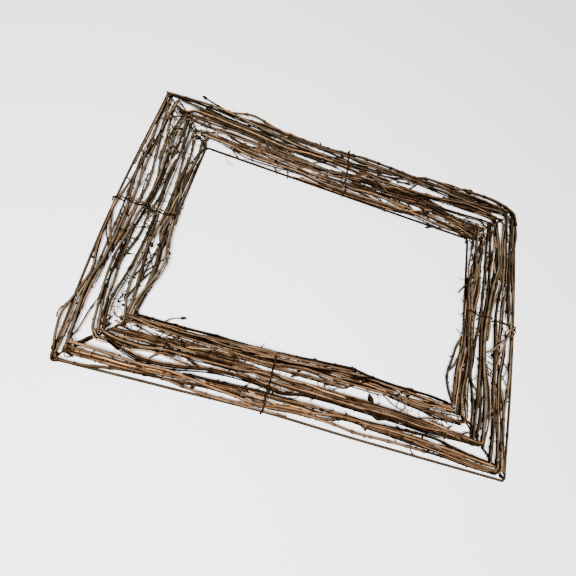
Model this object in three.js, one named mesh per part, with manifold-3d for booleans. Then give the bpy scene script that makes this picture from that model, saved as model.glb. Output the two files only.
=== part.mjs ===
// Rectangular twig wreath, lying on its back. Millimetres, +X along its long side, +Y toward its
// top side, +Z up. A wire frame lies flat, and on it lie three rows of twigs on each side.
import * as THREE from 'three';
import { mergeVertices } from 'three/addons/utils/BufferGeometryUtils.js';
import Module from 'manifold-3d';

// Driving dimensions
const WIDE = 457;              // outer wire, left to right
const HIGH = 330;              // outer wire, bottom to top
const WIRE_RADIUS = 1.2;
const STRUT_RADIUS = 1.0;
const BINDING_RADIUS = 0.8;
const CLEARANCE = 0.3;         // between pieces that touch
const TWIG_FLOOR = 2 * WIRE_RADIUS + CLEARANCE;
const LAYER_HEIGHT = 2.7;
const TWIG_WAVE = 0.7;         // how much a twig rises and dips along its length
const WAVE_TURN = 1.9;         // the wave's angle from one charted point to the next
const WAVE_SHIFT = 2.3;        // and from one twig of a row to the next
const TWIG_STEP = 24;          // length of one straight stretch of a twig
const TWIG_SIDES = 5;
const THIN_RADIUS = 1.4;       // under this a twig has four sides and shorter stretches
const THIN_SIDES = 4;
const TIP_WIDTH = 0.75;        // a twig's free end against its full width
const THIN_TIP_WIDTH = 0.6;
const TIP_SPREAD = 4;          // how fast it widens from there, by its share of the length
const LINK_RADIUS = 0.9;
const SAMPLE_SPACING = 4;      // between the places at which twigs are measured against each other
const CORNER_ZONE = 22;        // a twig that ends this near a mitre runs on through the corner
const CORNER_REACH = 12;       // how far it runs on before it is mitred
const TRIM_MARGIN = 24;        // how far a side's mitred outline runs out past its outer wire
const TRIM_DEPTH = 80;         // and how far it runs in past its inner wire's place
const TRIM_HEIGHT = 60;

// Inner wire, corner by corner: it was bent by hand and is a little out of square.
const INNER_CORNERS = {
  topLeft: new THREE.Vector2(-165, 108),
  topRight: new THREE.Vector2(166, 103),
  bottomRight: new THREE.Vector2(174, -110),
  bottomLeft: new THREE.Vector2(-173, -108),
};

// A side's own directions: s runs along it, and v runs from the outer wire toward the hole.
const SIDES = {
  bottom: { start: [0, -HIGH / 2], along: [1, 0], inward: [0, 1], half: WIDE / 2 },
  top: { start: [0, HIGH / 2], along: [1, 0], inward: [0, -1], half: WIDE / 2 },
  left: { start: [-WIDE / 2, 0], along: [0, 1], inward: [1, 0], half: HIGH / 2 },
  right: { start: [WIDE / 2, 0], along: [0, 1], inward: [-1, 0], half: HIGH / 2 },
};

// The lanes below are as they look from this point. A twig at its own height lies on the straight
// line from there to its charted place on the table.
const EYE = new THREE.Vector3(-94.6, -237.4, 465.5);

// One row is one twig: its diameter, the layer it lies in, and then pairs of s and v.
const TWIGS = {
  bottom: {
    outer: [
      [2.6, 1, -226, 1, -205, 1, -185, 4, -165, 7, -140, 8.5, -118, 9.5, -95, 12, -78, 14],
      [2.6, 2, -222, 8.5, -175, 8.5, -125, 9, -92, 5.5, -60, 5.5, -30, 8, 0, 10.5, 38, 10,
        66, 7.5, 105, 8.3, 150, 8, 180, 6, 220, 4.5],
      [4.2, 3, -214, 18.5, -190, 18, -150, 16.5, -125, 18, -95, 14.5, -65, 11.5, -38, 9, -10, 13,
        20, 15.5, 50, 19.5, 72, 20],
      [3.6, 2, -214, 14, -170, 12.5, -135, 11, -100, 14, -70, 15.5, -45, 13, -22, 10.5, 0, 13,
        30, 11.5, 55, 17],
      [3.6, 1, -112, 18, -75, 19.5, -45, 21.5, 0, 21.5, 60, 20.5, 95, 22, 130, 23.5, 150, 23,
        175, 18.5, 214, 14],
      [3.2, 2, -66, 16, -45, 19, -10, 20, 30, 21, 66, 20.5],
      [4.2, 3, 62, 20, 80, 18.5, 105, 18.5, 135, 17, 165, 15.5, 195, 12.5, 216, 11],
      [3.4, 2, 66, 17, 90, 16, 120, 14, 150, 12.5, 175, 10, 205, 6.5, 222, 6],
      [2.0, 3, 78, 18, 76.5, 14.5, 74.5, 12],
    ],
    middle: [
      [4.0, 2, -192, 33, -178, 27, -158, 21.5, -140, 20.5, -120, 22.5, -103, 26, -85, 29, -55, 30,
        -30, 28.5, -14, 27, 8, 31, 60, 31, 110, 30, 150, 28, 202, 28.5],
      [3.6, 2, -186, 31, -170, 28.5, -155, 31, -140, 32.5, -120, 29.5, -100, 28],
      [4.0, 3, -198, 37, -185, 34, -160, 32.5, -135, 35.5, -95, 36, -60, 37, -40, 40, -18, 38],
      [4.2, 2, -192, 39.5, -150, 40, -110, 41, -70, 40, -30, 40, 10, 39.5, 50, 39, 90, 38.5,
        130, 36, 165, 33],
      [3.0, 1, -188, 42, -155, 42, -110, 43.5, -75, 44.5, -40, 42],
      [4.2, 3, -50, 37, -20, 34.5, 20, 34, 60, 33.5, 100, 34, 135, 31, 165, 32.5, 203, 30.5],
      [3.8, 3, -6, 38, 25, 36.5, 50, 36, 85, 38, 120, 36.5, 150, 34.5, 176, 32.5],
      [2.2, 1, -188, 50, -175, 45.5, -160, 43, -146, 42],
      [2.6, 3, 78, 38, 76, 44, 74.5, 50],
      [1.8, 3, -140, 33, -141, 28, -145, 24],
      [4.4, 1, 78, 31, 86, 28, 98, 31],
    ],
    inner: [
      [3.8, 1, -170, 60.5, -130, 60.5, -90, 61.5, -50, 61.5, -15, 63.5, 15, 66.5, 54, 69, 75, 66,
        105, 64.5, 140, 64, 168, 61],
      [3.8, 3, -172, 56, -150, 53, -110, 51.5, -75, 51, -35, 51, -20, 53, 0, 55.5, 35, 53.5,
        70, 53, 96, 53],
      [4.0, 2, -170, 58, -125, 57, -75, 58.5, -35, 57, 10, 60, 40, 63.5, 58, 65, 85, 62.5,
        115, 61, 168, 58],
      [3.6, 1, -173, 54, -130, 54, -90, 54, -40, 54.5, 0, 58, 30, 59.5, 75, 58.5, 105, 55,
        150, 56.5, 172, 55],
      [4.0, 2, 78, 56, 100, 52.5, 130, 49, 150, 46, 180, 46],
      [3.8, 2, -64, 60, -20, 61, 20, 64, 52, 67],
      [1.6, 2, -46, 52, -44, 48, -15, 47, 15, 47, 48, 48.5, 54, 54],
      [1.6, 2, 84, 56, 90, 51, 98, 46, 108, 42.5, 118, 41],
      [1.7, 1, -150, 58, -145, 61, -138.5, 67, -128, 70.5],
    ],
  },
  top: {
    outer: [
      [4.6, 3, -231, -2, -185, -3.5, -155, -1.5, -130, 1, -100, 5.5, -75, 9, -48, 11.5, -20, 11],
      [3.0, 3, -165, -4.5, -150, -5.5, -135, -10, -126, -11.5, -115, -9.5, -98, -4.5, -78, 0],
      [4.4, 2, -150, -1, -115, -2, -75, 0, -30, -1, 20, -4, 60, -3, 110, -2, 170, -2.5, 224, 1],
      [3.4, 1, -212, 1, -190, 5, -160, 9.5, -130, 12.5, -95, 14, -60, 15, -36, 12],
      [3.6, 1, -182, 2, -152, 6, -105, 8.5, -70, 4, -30, 4, 5, 8, 40, 7.5, 66, 4],
      [4.4, 2, -16, 2, 30, 2, 60, 1, 100, 3.5, 140, 6, 180, 8.5, 218, 5],
      [3.6, 3, 88, -2, 105, -6.5, 130, -6.5, 144, -6, 158, -11, 166, -12.5],
      [4.0, 3, 160, -9, 185, -9.5, 206, -7.5, 229, 0],
      [3.6, 2, 128, 0, 160, 4, 178, 5, 200, 2, 222, 4],
      [3.0, 2, 40, 13, 62, 9, 84, 3, 100, 0],
      [1.8, 3, -160, -4, -172, -8, -187, -13, -196, -14.5],
    ],
    middle: [
      [4.6, 3, -200, 17, -195, 11.5, -175, 11, -145, 13.5, -115, 16, -75, 20, -50, 17, -10, 16,
        25, 18, 65, 18.5, 105, 18, 135, 15, 160, 11, 190, 14, 206, 17],
      [3.6, 1, -197, 17, -172, 16, -140, 17, -105, 20.5, -75, 26, -50, 30, -15, 31, 20, 33],
      [3.2, 2, -193, 25, -160, 27, -130, 27, -100, 28.5, -60, 27, -40, 20.5, -10, 25, 20, 29],
      [3.4, 1, -152, 26, -140, 31, -118, 35, -90, 33, -60, 36, -30, 34, 0, 33],
      [4.0, 2, -5, 27, 30, 27.5, 70, 25, 105, 27, 135, 30, 170, 26.5, 198, 25],
      [4.0, 3, 12, 36, 40, 35, 80, 33, 112, 30, 132, 28],
      [4.2, 2, 50, 22, 85, 20.5, 125, 20, 150, 17, 180, 16.5, 204, 18],
      [2.4, 2, -84, 8, -80, 14, -74, 21, -68, 29, -64, 34],
    ],
    inner: [
      [4.0, 2, -172, 36, -135, 38, -100, 37, -70, 40.5, -40, 44.5, 0, 46, 40, 43, 70, 45, 96, 47.5],
      [4.4, 3, -170, 41, -140, 43.5, -115, 49, -85, 49, -55, 47.5, -20, 51, 20, 52, 60, 51.5,
        95, 52, 125, 55.5, 172, 56],
      [3.4, 1, -136, 45, -100, 44, -60, 46, -30, 43, 0, 41, 40, 39, 75, 37.5, 110, 38.5, 150, 42,
        180, 43],
      [4.0, 2, 52, 37, 80, 36, 106, 33, 130, 38, 155, 42, 182, 42],
      [3.2, 1, -52, 54, -20, 57, 20, 56, 62, 55, 100, 51],
      [3.8, 2, 86, 48, 105, 46, 130, 49.5, 156, 52, 172, 50],
      [3.8, 1, 128, 33, 160, 34.5, 190, 36],
      [2.0, 2, 152, 56, 135, 57, 120, 61, 109, 64],
    ],
  },
  left: {
    outer: [
      [3.4, 2, -157, -1, -140, -5.5, -121, -8, -103, -4, -85, 0, -70, 2, -50, -2.5, -15, -4,
        10, -3, 36, 1, 70, 4],
      [3.2, 1, -158, 1.5, -120, 0, -90, 1, -66, 1.5, -40, -3, 0, -3.5],
      [3.0, 1, -158, 2, -120, 3.5, -80, 5, -40, 4.5, 15, 4, 60, 2.5, 95, 4.5, 130, 1.5, 160, 4],
      [4.6, 3, -154, 8, -130, 6.5, -100, 3.5, -80, 4, -58, 8, -30, 9.5, 0, 9, 20, 6.5, 42, 3.5,
        75, 4.5, 98, 6],
      [3.2, 2, -150, 8, -115, 7, -85, 7.5, -56, 9, -30, 13.5, 0, 15.5, 16, 15],
      [3.8, 2, -54, 10, -10, 11.5, 30, 10.5, 60, 9, 100, 9.5, 130, 10, 152, 13],
      [3.8, 3, 58, -2, 80, -2, 120, -0.5, 163, 1],
      [3.6, 2, 60, 17, 85, 14, 105, 10.5, 130, 7.5, 158, 6],
      [1.8, 2, -144, 8, -135, 11.5, -115, 14.5, -98, 18],
    ],
    middle: [
      [4.4, 3, -136, 30, -128, 25, -105, 21.5, -75, 18, -45, 18, -15, 21.5, 10, 24, 40, 27.5,
        80, 26, 110, 25, 142, 29],
      [4.0, 2, -131, 30, -110, 25, -75, 20.5, -45, 20, -28, 16.5, 0, 16.5, 40, 18.5, 66, 17],
      [3.6, 1, -130, 32, -95, 26.5, -50, 24, -10, 24, 10, 28, 34, 31, 60, 31, 100, 33, 132, 34],
      [4.4, 2, -126, 33, -98, 30.5, -60, 35.5, -20, 38.5, 30, 39, 70, 39, 110, 39.5, 130, 38],
      [3.4, 1, -66, 20.5, -45, 26, -20, 31, 5, 32, 30, 36, 70, 36.5],
      [3.4, 2, 44, 28, 62, 23.5, 80, 21, 120, 22, 146, 27],
      [3.2, 1, 74, 19, 100, 18.5, 125, 15, 154, 13],
      [2.4, 2, -27, 15, -27, 22, -28, 30],
      [2.2, 2, 50, 38, 52, 32, 54, 25.5],
    ],
    inner: [
      [4.2, 2, -112, 58, -95, 56, -70, 59, -45, 58, -15, 54, 20, 52, 50, 49.5, 80, 50.5, 108, 48],
      [3.8, 3, -111, 52, -85, 54.5, -65, 61, -45, 65.5, -25, 62, 0, 58.5, 30, 57, 56, 53],
      [3.6, 1, -112, 50, -75, 48, -45, 45, -20, 41.5, 10, 41],
      [3.0, 2, -110, 48, -94, 43.5, -70, 40, -45, 41.5, -15, 44.5, 15, 47, 55, 47, 95, 43.5,
        124, 44],
      [4.0, 2, 6, 54, 50, 55, 95, 57.5, 112, 56],
      [3.4, 1, -60, 60, -30, 57.5, -10, 50, 20, 49],
      [2.2, 2, -94, 42, -80, 46, -62, 53, -52, 58],
    ],
  },
  right: {
    outer: [
      [3.8, 2, -160, 3, -125, 3, -95, 2, -60, -2, -20, -2.5, 10, -3.5, 50, -2, 80, 0, 110, -1.5,
        130, -4, 152, -2, 164, 0],
      [4.6, 3, -157, 7, -120, 7.5, -90, 10, -60, 11, -40, 8, -20, 4.5, 0, -1],
      [4.2, 1, -154, 9, -120, 9, -90, 13.5, -45, 14.5, 0, 11, 30, 9.5, 60, 3, 95, 1, 120, -2],
      [3.6, 2, -150, 16, -115, 14, -80, 17, -40, 17, 8, 18, 40, 15, 70, 9, 96, 3],
      [3.8, 2, 4, 1, 40, 2.5, 75, 3.5, 110, 1, 160, 2],
      [4.4, 2, 50, 12, 80, 11, 115, 12, 152, 9],
      [2.0, 3, -4, -1, -14, 7, -22, 14, -32, 24, -34, 30],
    ],
    middle: [
      [4.6, 2, -139, 27, -110, 22, -80, 23, -50, 27, -20, 28, 10, 25, 50, 18.5, 80, 15.5,
        110, 18, 140, 24],
      [4.6, 3, -134, 26, -90, 25.5, -60, 29, -20, 31, 15, 28, 50, 24, 80, 18.5, 105, 21, 144, 26],
      [4.4, 1, -134, 33, -100, 29.5, -60, 32, -20, 35, 10, 33, 40, 30, 90, 29.5, 134, 31],
      [4.0, 2, -132, 36, -95, 35, -60, 35, -20, 35, 10, 35],
      [4.0, 1, -130, 39, -95, 39, -65, 44, -40, 44.5, -5, 39, 30, 36.5, 75, 35.5, 130, 35],
    ],
    inner: [
      [4.0, 2, -120, 46, -90, 48, -55, 48.5, -25, 46, 10, 46.5, 40, 43, 70, 44, 90, 42, 114, 45],
      [4.2, 3, -112, 52, -90, 54, -60, 50, -35, 49, -10, 51, 20, 53, 50, 54, 62, 48, 90, 50,
        112, 50],
      [4.4, 1, -112, 57, -80, 60, -50, 57.5, -20, 53, 20, 55, 52, 56],
      [4.0, 2, -104, 62, -70, 61, -40, 57, -10, 55, 30, 57, 48, 58],
      [2.2, 2, -104, 61, -90, 68, -78, 71.5, -68, 71, -60, 65, -48, 60],
      [2.4, 2, -70, 72, -52, 67, -38, 64, -24, 58],
      [2.2, 2, 48, 56, 38, 61, 32, 65, 28, 67],
    ],
  },
};

const wasm = await Module();
wasm.setup();

const BARK = {
  outer: { color: 0x5a3f28, roughness: 0.75, metalness: 0 },
  middle: { color: 0x664931, roughness: 0.75, metalness: 0 },
  inner: { color: 0x4c3625, roughness: 0.75, metalness: 0 },
};
const wireCoat = { color: 0x4b3a30, roughness: 0.5, metalness: 0.4 };
const bindingCoat = { color: 0x5c4535, roughness: 0.55, metalness: 0.3 };

// Shapes and solids

function spot(side, s, v) {
  const { start, along, inward } = SIDES[side];
  const x = start[0] + s * along[0] + v * inward[0];
  const y = start[1] + s * along[1] + v * inward[1];
  return new THREE.Vector3(x, y, 0);
}

function readTwig(side, [diameter, layer, ...lane], order) {
  const radius = diameter / 2;
  const level = TWIG_FLOOR + TWIG_WAVE + radius + (layer - 1) * LAYER_HEIGHT;
  const reach = SIDES[side].half - CORNER_ZONE;
  const pairs = [];
  for (let i = 0; i < lane.length; i += 2) {
    pairs.push([lane[i], lane[i + 1]]);
  }
  const inCorner = (s, v) => Math.abs(s) + v > reach;
  const [first, last] = [pairs[0], pairs.at(-1)];
  const ends = { first: inCorner(...first), last: inCorner(...last) };
  if (ends.first) {
    pairs.unshift([first[0] + Math.sign(first[0]) * CORNER_REACH, first[1]]);
  }
  if (ends.last) {
    pairs.push([last[0] + Math.sign(last[0]) * CORNER_REACH, last[1]]);
  }
  const points = pairs.map(([s, v], i) => {
    const height = level + TWIG_WAVE * Math.sin(WAVE_TURN * i + WAVE_SHIFT * order);
    return spot(side, s, v).lerp(EYE, height / EYE.z);
  });
  const curve = new THREE.CatmullRomCurve3(points, false, 'centripetal');
  const samples = curve.getSpacedPoints(Math.round(curve.getLength() / SAMPLE_SPACING));
  return { curve, samples, radius, ends };
}

// A bar with its own radius at each point of its middle line, closed at both ends.
function barGeometry(points, radii, sides) {
  const last = points.length - 1;
  const across = new THREE.Vector3(0, 0, 1);
  const tangent = new THREE.Vector3();
  const beside = new THREE.Vector3();
  const positions = [];
  const index = [];
  points.forEach((centre, i) => {
    tangent.subVectors(points[Math.min(i + 1, last)], points[Math.max(i - 1, 0)]).normalize();
    across.addScaledVector(tangent, -across.dot(tangent)).normalize();
    beside.crossVectors(tangent, across);
    for (let k = 0; k < sides; k += 1) {
      const angle = (2 * Math.PI * k) / sides;
      const vertex = centre.clone()
        .addScaledVector(across, radii[i] * Math.cos(angle))
        .addScaledVector(beside, radii[i] * Math.sin(angle));
      positions.push(vertex.x, vertex.y, vertex.z);
      if (i < last) {
        const here = i * sides + k;
        const next = i * sides + ((k + 1) % sides);
        index.push(here, next, here + sides, next, next + sides, here + sides);
      }
    }
  });
  for (let k = 1; k < sides - 1; k += 1) {
    index.push(0, k + 1, k);
    index.push(last * sides, last * sides + k, last * sides + k + 1);
  }
  const geometry = new THREE.BufferGeometry();
  geometry.setAttribute('position', new THREE.Float32BufferAttribute(positions, 3));
  geometry.setIndex(index);
  return geometry;
}

const SAME_POINT = 1e-4;

function toSolid(geometry) {
  geometry.deleteAttribute('normal');
  geometry.deleteAttribute('uv');
  const merged = mergeVertices(geometry, SAME_POINT);
  return new wasm.Manifold(new wasm.Mesh({
    numProp: 3,
    vertProperties: merged.attributes.position.array,
    triVerts: new Uint32Array(merged.index.array),
  }));
}

function fuse(solids) {
  return solids.reduce((whole, solid) => whole.add(solid));
}

// The largest closed body, without loose scraps or sealed hollows.
function mainBody(solid) {
  return solid.decompose().sort((a, b) => b.volume() - a.volume())[0];
}

function toMesh(name, solid, look) {
  const { vertProperties, triVerts } = solid.getMesh();
  const geometry = new THREE.BufferGeometry();
  geometry.setAttribute('position', new THREE.Float32BufferAttribute(vertProperties, 3));
  geometry.setIndex(Array.from(triVerts));
  geometry.computeVertexNormals();
  const mesh = new THREE.Mesh(geometry, new THREE.MeshStandardMaterial(look));
  mesh.name = name;
  return mesh;
}

// Wire frame: straight runs of coated wire, each with its flat underside on the table

const WIRE_SIDES = 8;
const OUTER_WIRE_STEPS = 10;

function wireMesh(name, radius, path, steps) {
  const section = new THREE.Shape();
  const corner = radius / Math.cos(Math.PI / WIRE_SIDES);
  for (let k = 0; k < WIRE_SIDES; k += 1) {
    const angle = (2 * Math.PI * (k + 0.5)) / WIRE_SIDES;
    section[k ? 'lineTo' : 'moveTo'](corner * Math.cos(angle), corner * Math.sin(angle));
  }
  section.closePath();
  const geometry = new THREE.ExtrudeGeometry(section, { extrudePath: path, steps });
  const mesh = new THREE.Mesh(geometry, new THREE.MeshStandardMaterial(wireCoat));
  mesh.name = name;
  return mesh;
}

// The outer wire bows in or out by this much, at this place along each side.
const OUTER_BOWS = {
  bottom: [[-120, 1.8], [-29, 3.6], [60, 1.6]],
  top: [[-100, 0.8], [20, 1.4], [120, 0.6]],
  left: [[-80, -3.6], [-10, -5], [70, -3.4]],
  right: [[-80, -2.6], [0, -3.6], [80, -2.4]],
};
const BUTT_GAP = WIRE_RADIUS + CLEARANCE;       // from a through wire's middle to a butting end

function outerWirePath(side) {
  const { half } = SIDES[side];
  const through = side === 'bottom' || side === 'top';
  const end = through ? half + WIRE_RADIUS : half - BUTT_GAP;
  const plan = [[-end, 0], ...OUTER_BOWS[side], [end, 0]];
  const points = plan.map(([s, v]) => spot(side, s, v).setZ(WIRE_RADIUS));
  return new THREE.CatmullRomCurve3(points, false, 'centripetal');
}

function straightPath(from, to, startCut, endCut, height) {
  const direction = to.clone().sub(from).normalize();
  const start = from.clone().addScaledVector(direction, startCut);
  const end = to.clone().addScaledVector(direction, -endCut);
  return new THREE.LineCurve3(
    new THREE.Vector3(start.x, start.y, height),
    new THREE.Vector3(end.x, end.y, height),
  );
}

function innerWirePath(side) {
  const corners = {
    bottom: ['bottomLeft', 'bottomRight'],
    top: ['topLeft', 'topRight'],
    left: ['bottomLeft', 'topLeft'],
    right: ['bottomRight', 'topRight'],
  }[side].map((name) => INNER_CORNERS[name]);
  const cut = side === 'bottom' || side === 'top' ? -WIRE_RADIUS : BUTT_GAP;
  return straightPath(...corners, cut, cut, WIRE_RADIUS);
}

const STRUT_EXTRA_GAP = 0.2;   // the struts meet corners that are not quite square

function cornerStruts() {
  const outerCorners = {
    top_left: [-WIDE / 2, HIGH / 2, 'topLeft'],
    top_right: [WIDE / 2, HIGH / 2, 'topRight'],
    bottom_right: [WIDE / 2, -HIGH / 2, 'bottomRight'],
    bottom_left: [-WIDE / 2, -HIGH / 2, 'bottomLeft'],
  };
  const outerCut = Math.SQRT2 * BUTT_GAP + STRUT_RADIUS + STRUT_EXTRA_GAP;
  const innerCut = Math.SQRT2 * WIRE_RADIUS + CLEARANCE + STRUT_EXTRA_GAP;
  return Object.entries(outerCorners).map(([name, [x, y, inner]]) => {
    const outer = new THREE.Vector2(x, y);
    const path = straightPath(outer, INNER_CORNERS[inner], outerCut, innerCut, STRUT_RADIUS);
    return wireMesh(`corner_strut_${name}`, STRUT_RADIUS, path, 1);
  });
}

const group = new THREE.Group();
for (const side of Object.keys(SIDES)) {
  group.add(wireMesh(`outer_wire_${side}`, WIRE_RADIUS, outerWirePath(side), OUTER_WIRE_STEPS));
  group.add(wireMesh(`inner_wire_${side}`, WIRE_RADIUS, innerWirePath(side), 1));
}
group.add(...cornerStruts());

// Rows of twigs: the twigs of one row are fused, and short side shoots hold the loose ones to it

// A twig narrows toward an end that lies free, and keeps its width into a corner.
function twigSolid({ curve, radius, ends }, grow = 0) {
  const thin = radius < THIN_RADIUS;
  const straight = Math.max(3, Math.round(curve.getLength() / TWIG_STEP));
  const steps = thin ? 2 * straight : straight;
  const tip = thin ? THIN_TIP_WIDTH : TIP_WIDTH;
  const widthAt = (fromEnd, inCorner) => (inCorner ? 1 : Math.min(1, tip + TIP_SPREAD * fromEnd));
  const points = curve.getSpacedPoints(steps);
  const radii = points.map((point, i) => {
    const along = i / steps;
    return radius * Math.min(widthAt(along, ends.first), widthAt(1 - along, ends.last)) + grow;
  });
  return toSolid(barGeometry(points, radii, thin ? THIN_SIDES : TWIG_SIDES));
}

function closest(one, other) {
  let best = { distance: Infinity };
  for (const a of one.samples) {
    for (const b of other.samples) {
      const distance = a.distanceTo(b);
      if (distance < best.distance) {
        best = { distance, a, b };
      }
    }
  }
  return best;
}

const SUNK_ENOUGH = 1;         // twigs that cross by this much hold each other with no shoot

// Shoots that tie each loose twig of a row to its nearest neighbour that is already held.
function linkSolids(twigs) {
  const links = [];
  const held = [twigs[0]];
  const loose = twigs.slice(1);
  while (loose.length) {
    let best = { gap: Infinity };
    for (const twig of loose) {
      for (const holder of held) {
        const near = closest(twig, holder);
        const gap = near.distance - twig.radius - holder.radius;
        if (gap < best.gap) {
          best = { ...near, gap, twig };
        }
      }
    }
    held.push(best.twig);
    loose.splice(loose.indexOf(best.twig), 1);
    if (best.gap > -SUNK_ENOUGH) {
      const ends = [best.a, best.b];
      links.push(toSolid(barGeometry(ends, [LINK_RADIUS, LINK_RADIUS], THIN_SIDES)));
    }
  }
  return links;
}

// A side's plan between its two mitred corners.
function sideOutline(side) {
  const { half } = SIDES[side];
  const gap = (CLEARANCE / 2) * Math.SQRT2;
  const outerEnd = half + TRIM_MARGIN - gap;
  const innerEnd = half - TRIM_DEPTH - gap;
  const outline = new THREE.Shape([
    spot(side, -outerEnd, -TRIM_MARGIN),
    spot(side, outerEnd, -TRIM_MARGIN),
    spot(side, innerEnd, TRIM_DEPTH),
    spot(side, -innerEnd, TRIM_DEPTH),
  ]);
  return toSolid(new THREE.ExtrudeGeometry(outline, { depth: TRIM_HEIGHT, bevelEnabled: false }));
}

const rows = Object.entries(TWIGS).flatMap(([side, byRow]) => (
  Object.entries(byRow).map(([row, lines]) => (
    { side, row, twigs: lines.map((line, order) => readTwig(side, line, order)) }))));

// Bindings: strands over the three rows near the middle of each side, down past both wires
const BINDINGS = [
  { name: 'binding_bottom', side: 'bottom', outerS: -30.5, innerS: -30.5 },
  { name: 'binding_top', side: 'top', outerS: -3, innerS: 2 },
  { name: 'binding_left', side: 'left', outerS: 7, innerS: 4.5 },
  { name: 'binding_left_pale', side: 'left', outerS: 10.5, innerS: 7.5 },
  { name: 'binding_right', side: 'right', outerS: 2, innerS: 3 },
];
const BINDING_SPACING = 3.5;
const BINDING_REACH = 4.5;     // twigs this near to a strand's middle line are lain on
const BINDING_LIFT = CLEARANCE + BINDING_RADIUS + 0.1;
const WIRE_PLACES = 400;       // places along a wire from which a strand's end is picked

// A strand's bend down past a wire: how far out beside it, and how high.
const HOOK_BEND = WIRE_RADIUS / Math.cos(Math.PI / WIRE_SIDES) + BINDING_LIFT;
const HOOK_SHOULDER = { out: 0.9 * HOOK_BEND, height: WIRE_RADIUS + 0.6 * HOOK_BEND };
const HOOK_END = { out: 1.05 * HOOK_BEND, height: BINDING_RADIUS + 0.2 };

// The place on a wire's path that lies s along its side.
function onWire(path, side, s) {
  const axis = SIDES[side].along[0] ? 'x' : 'y';
  const places = path.getSpacedPoints(WIRE_PLACES);
  const away = (point) => Math.abs(point[axis] - s);
  return places.reduce((best, point) => (away(point) < away(best) ? point : best)).setZ(0);
}

function bindingPoints({ side, outerS, innerS }) {
  const samples = rows.filter((item) => item.side === side)
    .flatMap(({ twigs }) => twigs.flatMap(({ samples: points, radius }) => (
      points.map((point) => ({ point, top: point.z + radius })))));
  const start = onWire(outerWirePath(side), side, outerS);
  const end = onWire(innerWirePath(side), side, innerS);
  const count = Math.round(start.distanceTo(end) / BINDING_SPACING);
  const places = [];
  for (let i = 0; i <= count; i += 1) {
    const place = start.clone().lerp(end, i / count);
    const under = samples.filter(({ point }) => (
      Math.hypot(point.x - place.x, point.y - place.y) < BINDING_REACH));
    place.z = Math.max(2 * WIRE_RADIUS, ...under.map(({ top }) => top)) + BINDING_LIFT;
    places.push(place);
  }
  const outward = start.clone().sub(end).normalize();
  const hook = (place, sign) => [HOOK_SHOULDER, HOOK_END].map(({ out, height }) => (
    place.clone().addScaledVector(outward, sign * out).setZ(height)));
  return [...hook(start, 1).reverse(), ...places, ...hook(end, -1)];
}

function bindingSolid(points, grow = 0) {
  return toSolid(barGeometry(points, points.map(() => BINDING_RADIUS + grow), TWIG_SIDES));
}

const bindings = BINDINGS.map((binding) => ({ ...binding, points: bindingPoints(binding) }));
for (const { name, points } of bindings) {
  group.add(toMesh(name, bindingSolid(points), bindingCoat));
}

// A row gives way to its side's bindings and to the rows outside it, which it passes under or over.
for (const { side, row, twigs } of rows) {
  const sameSide = (item) => item.side === side;
  const outerRows = rows.filter(sameSide).slice(0, Object.keys(BARK).indexOf(row));
  const inTheWay = [
    ...bindings.filter(sameSide).map(({ points }) => bindingSolid(points, CLEARANCE)),
    ...outerRows.flatMap((item) => item.twigs.map((twig) => twigSolid(twig, CLEARANCE))),
  ];
  const whole = fuse([...twigs.map((twig) => twigSolid(twig)), ...linkSolids(twigs)]);
  const trimmed = whole.intersect(sideOutline(side)).subtract(fuse(inTheWay));
  group.add(toMesh(`${side}_${row}_twigs`, mainBody(trimmed), BARK[row]));
}

// The origin is under the middle of the wreath, on the table.
const box = new THREE.Box3().setFromObject(group);
for (const mesh of group.children) {
  mesh.position.x -= (box.min.x + box.max.x) / 2;
  mesh.position.y -= (box.min.y + box.max.y) / 2;
}

export default group;
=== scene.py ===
"""A rectangular wreath of bare vine twigs, laid in rows on a flat wire frame."""
import math
import random

import bpy
import numpy as np
from mathutils import Matrix, Vector


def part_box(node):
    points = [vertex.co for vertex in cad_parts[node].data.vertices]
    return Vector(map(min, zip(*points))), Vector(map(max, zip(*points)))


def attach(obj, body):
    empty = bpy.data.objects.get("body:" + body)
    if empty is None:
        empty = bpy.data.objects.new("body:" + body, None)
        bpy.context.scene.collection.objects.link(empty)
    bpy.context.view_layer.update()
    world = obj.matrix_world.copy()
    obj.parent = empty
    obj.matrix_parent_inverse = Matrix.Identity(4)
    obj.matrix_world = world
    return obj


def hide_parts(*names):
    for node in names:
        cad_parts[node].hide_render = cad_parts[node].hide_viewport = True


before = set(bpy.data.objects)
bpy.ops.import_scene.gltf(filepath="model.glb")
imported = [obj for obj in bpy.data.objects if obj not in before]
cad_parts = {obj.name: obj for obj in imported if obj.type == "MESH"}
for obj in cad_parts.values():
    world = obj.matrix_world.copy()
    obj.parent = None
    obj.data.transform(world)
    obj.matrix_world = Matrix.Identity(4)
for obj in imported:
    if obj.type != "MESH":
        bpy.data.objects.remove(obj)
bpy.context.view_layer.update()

# The wreath is measured in millimetres about the middle of its outer wire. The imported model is
# centred under its twigs instead, so everything is moved across by the difference between the two.
WIRE_LENGTH = 457.0
WIRE_HEIGHT = 330.0
CAD_WIRE_RADIUS = 1.2
wire_low, wire_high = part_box("outer_wire_top")
wire_middle = 500 * (wire_low.x + wire_high.x)
CENTRE = np.array([wire_middle, 1000 * wire_high.y - WIRE_HEIGHT / 2 - CAD_WIRE_RADIUS, 0.0])

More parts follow.
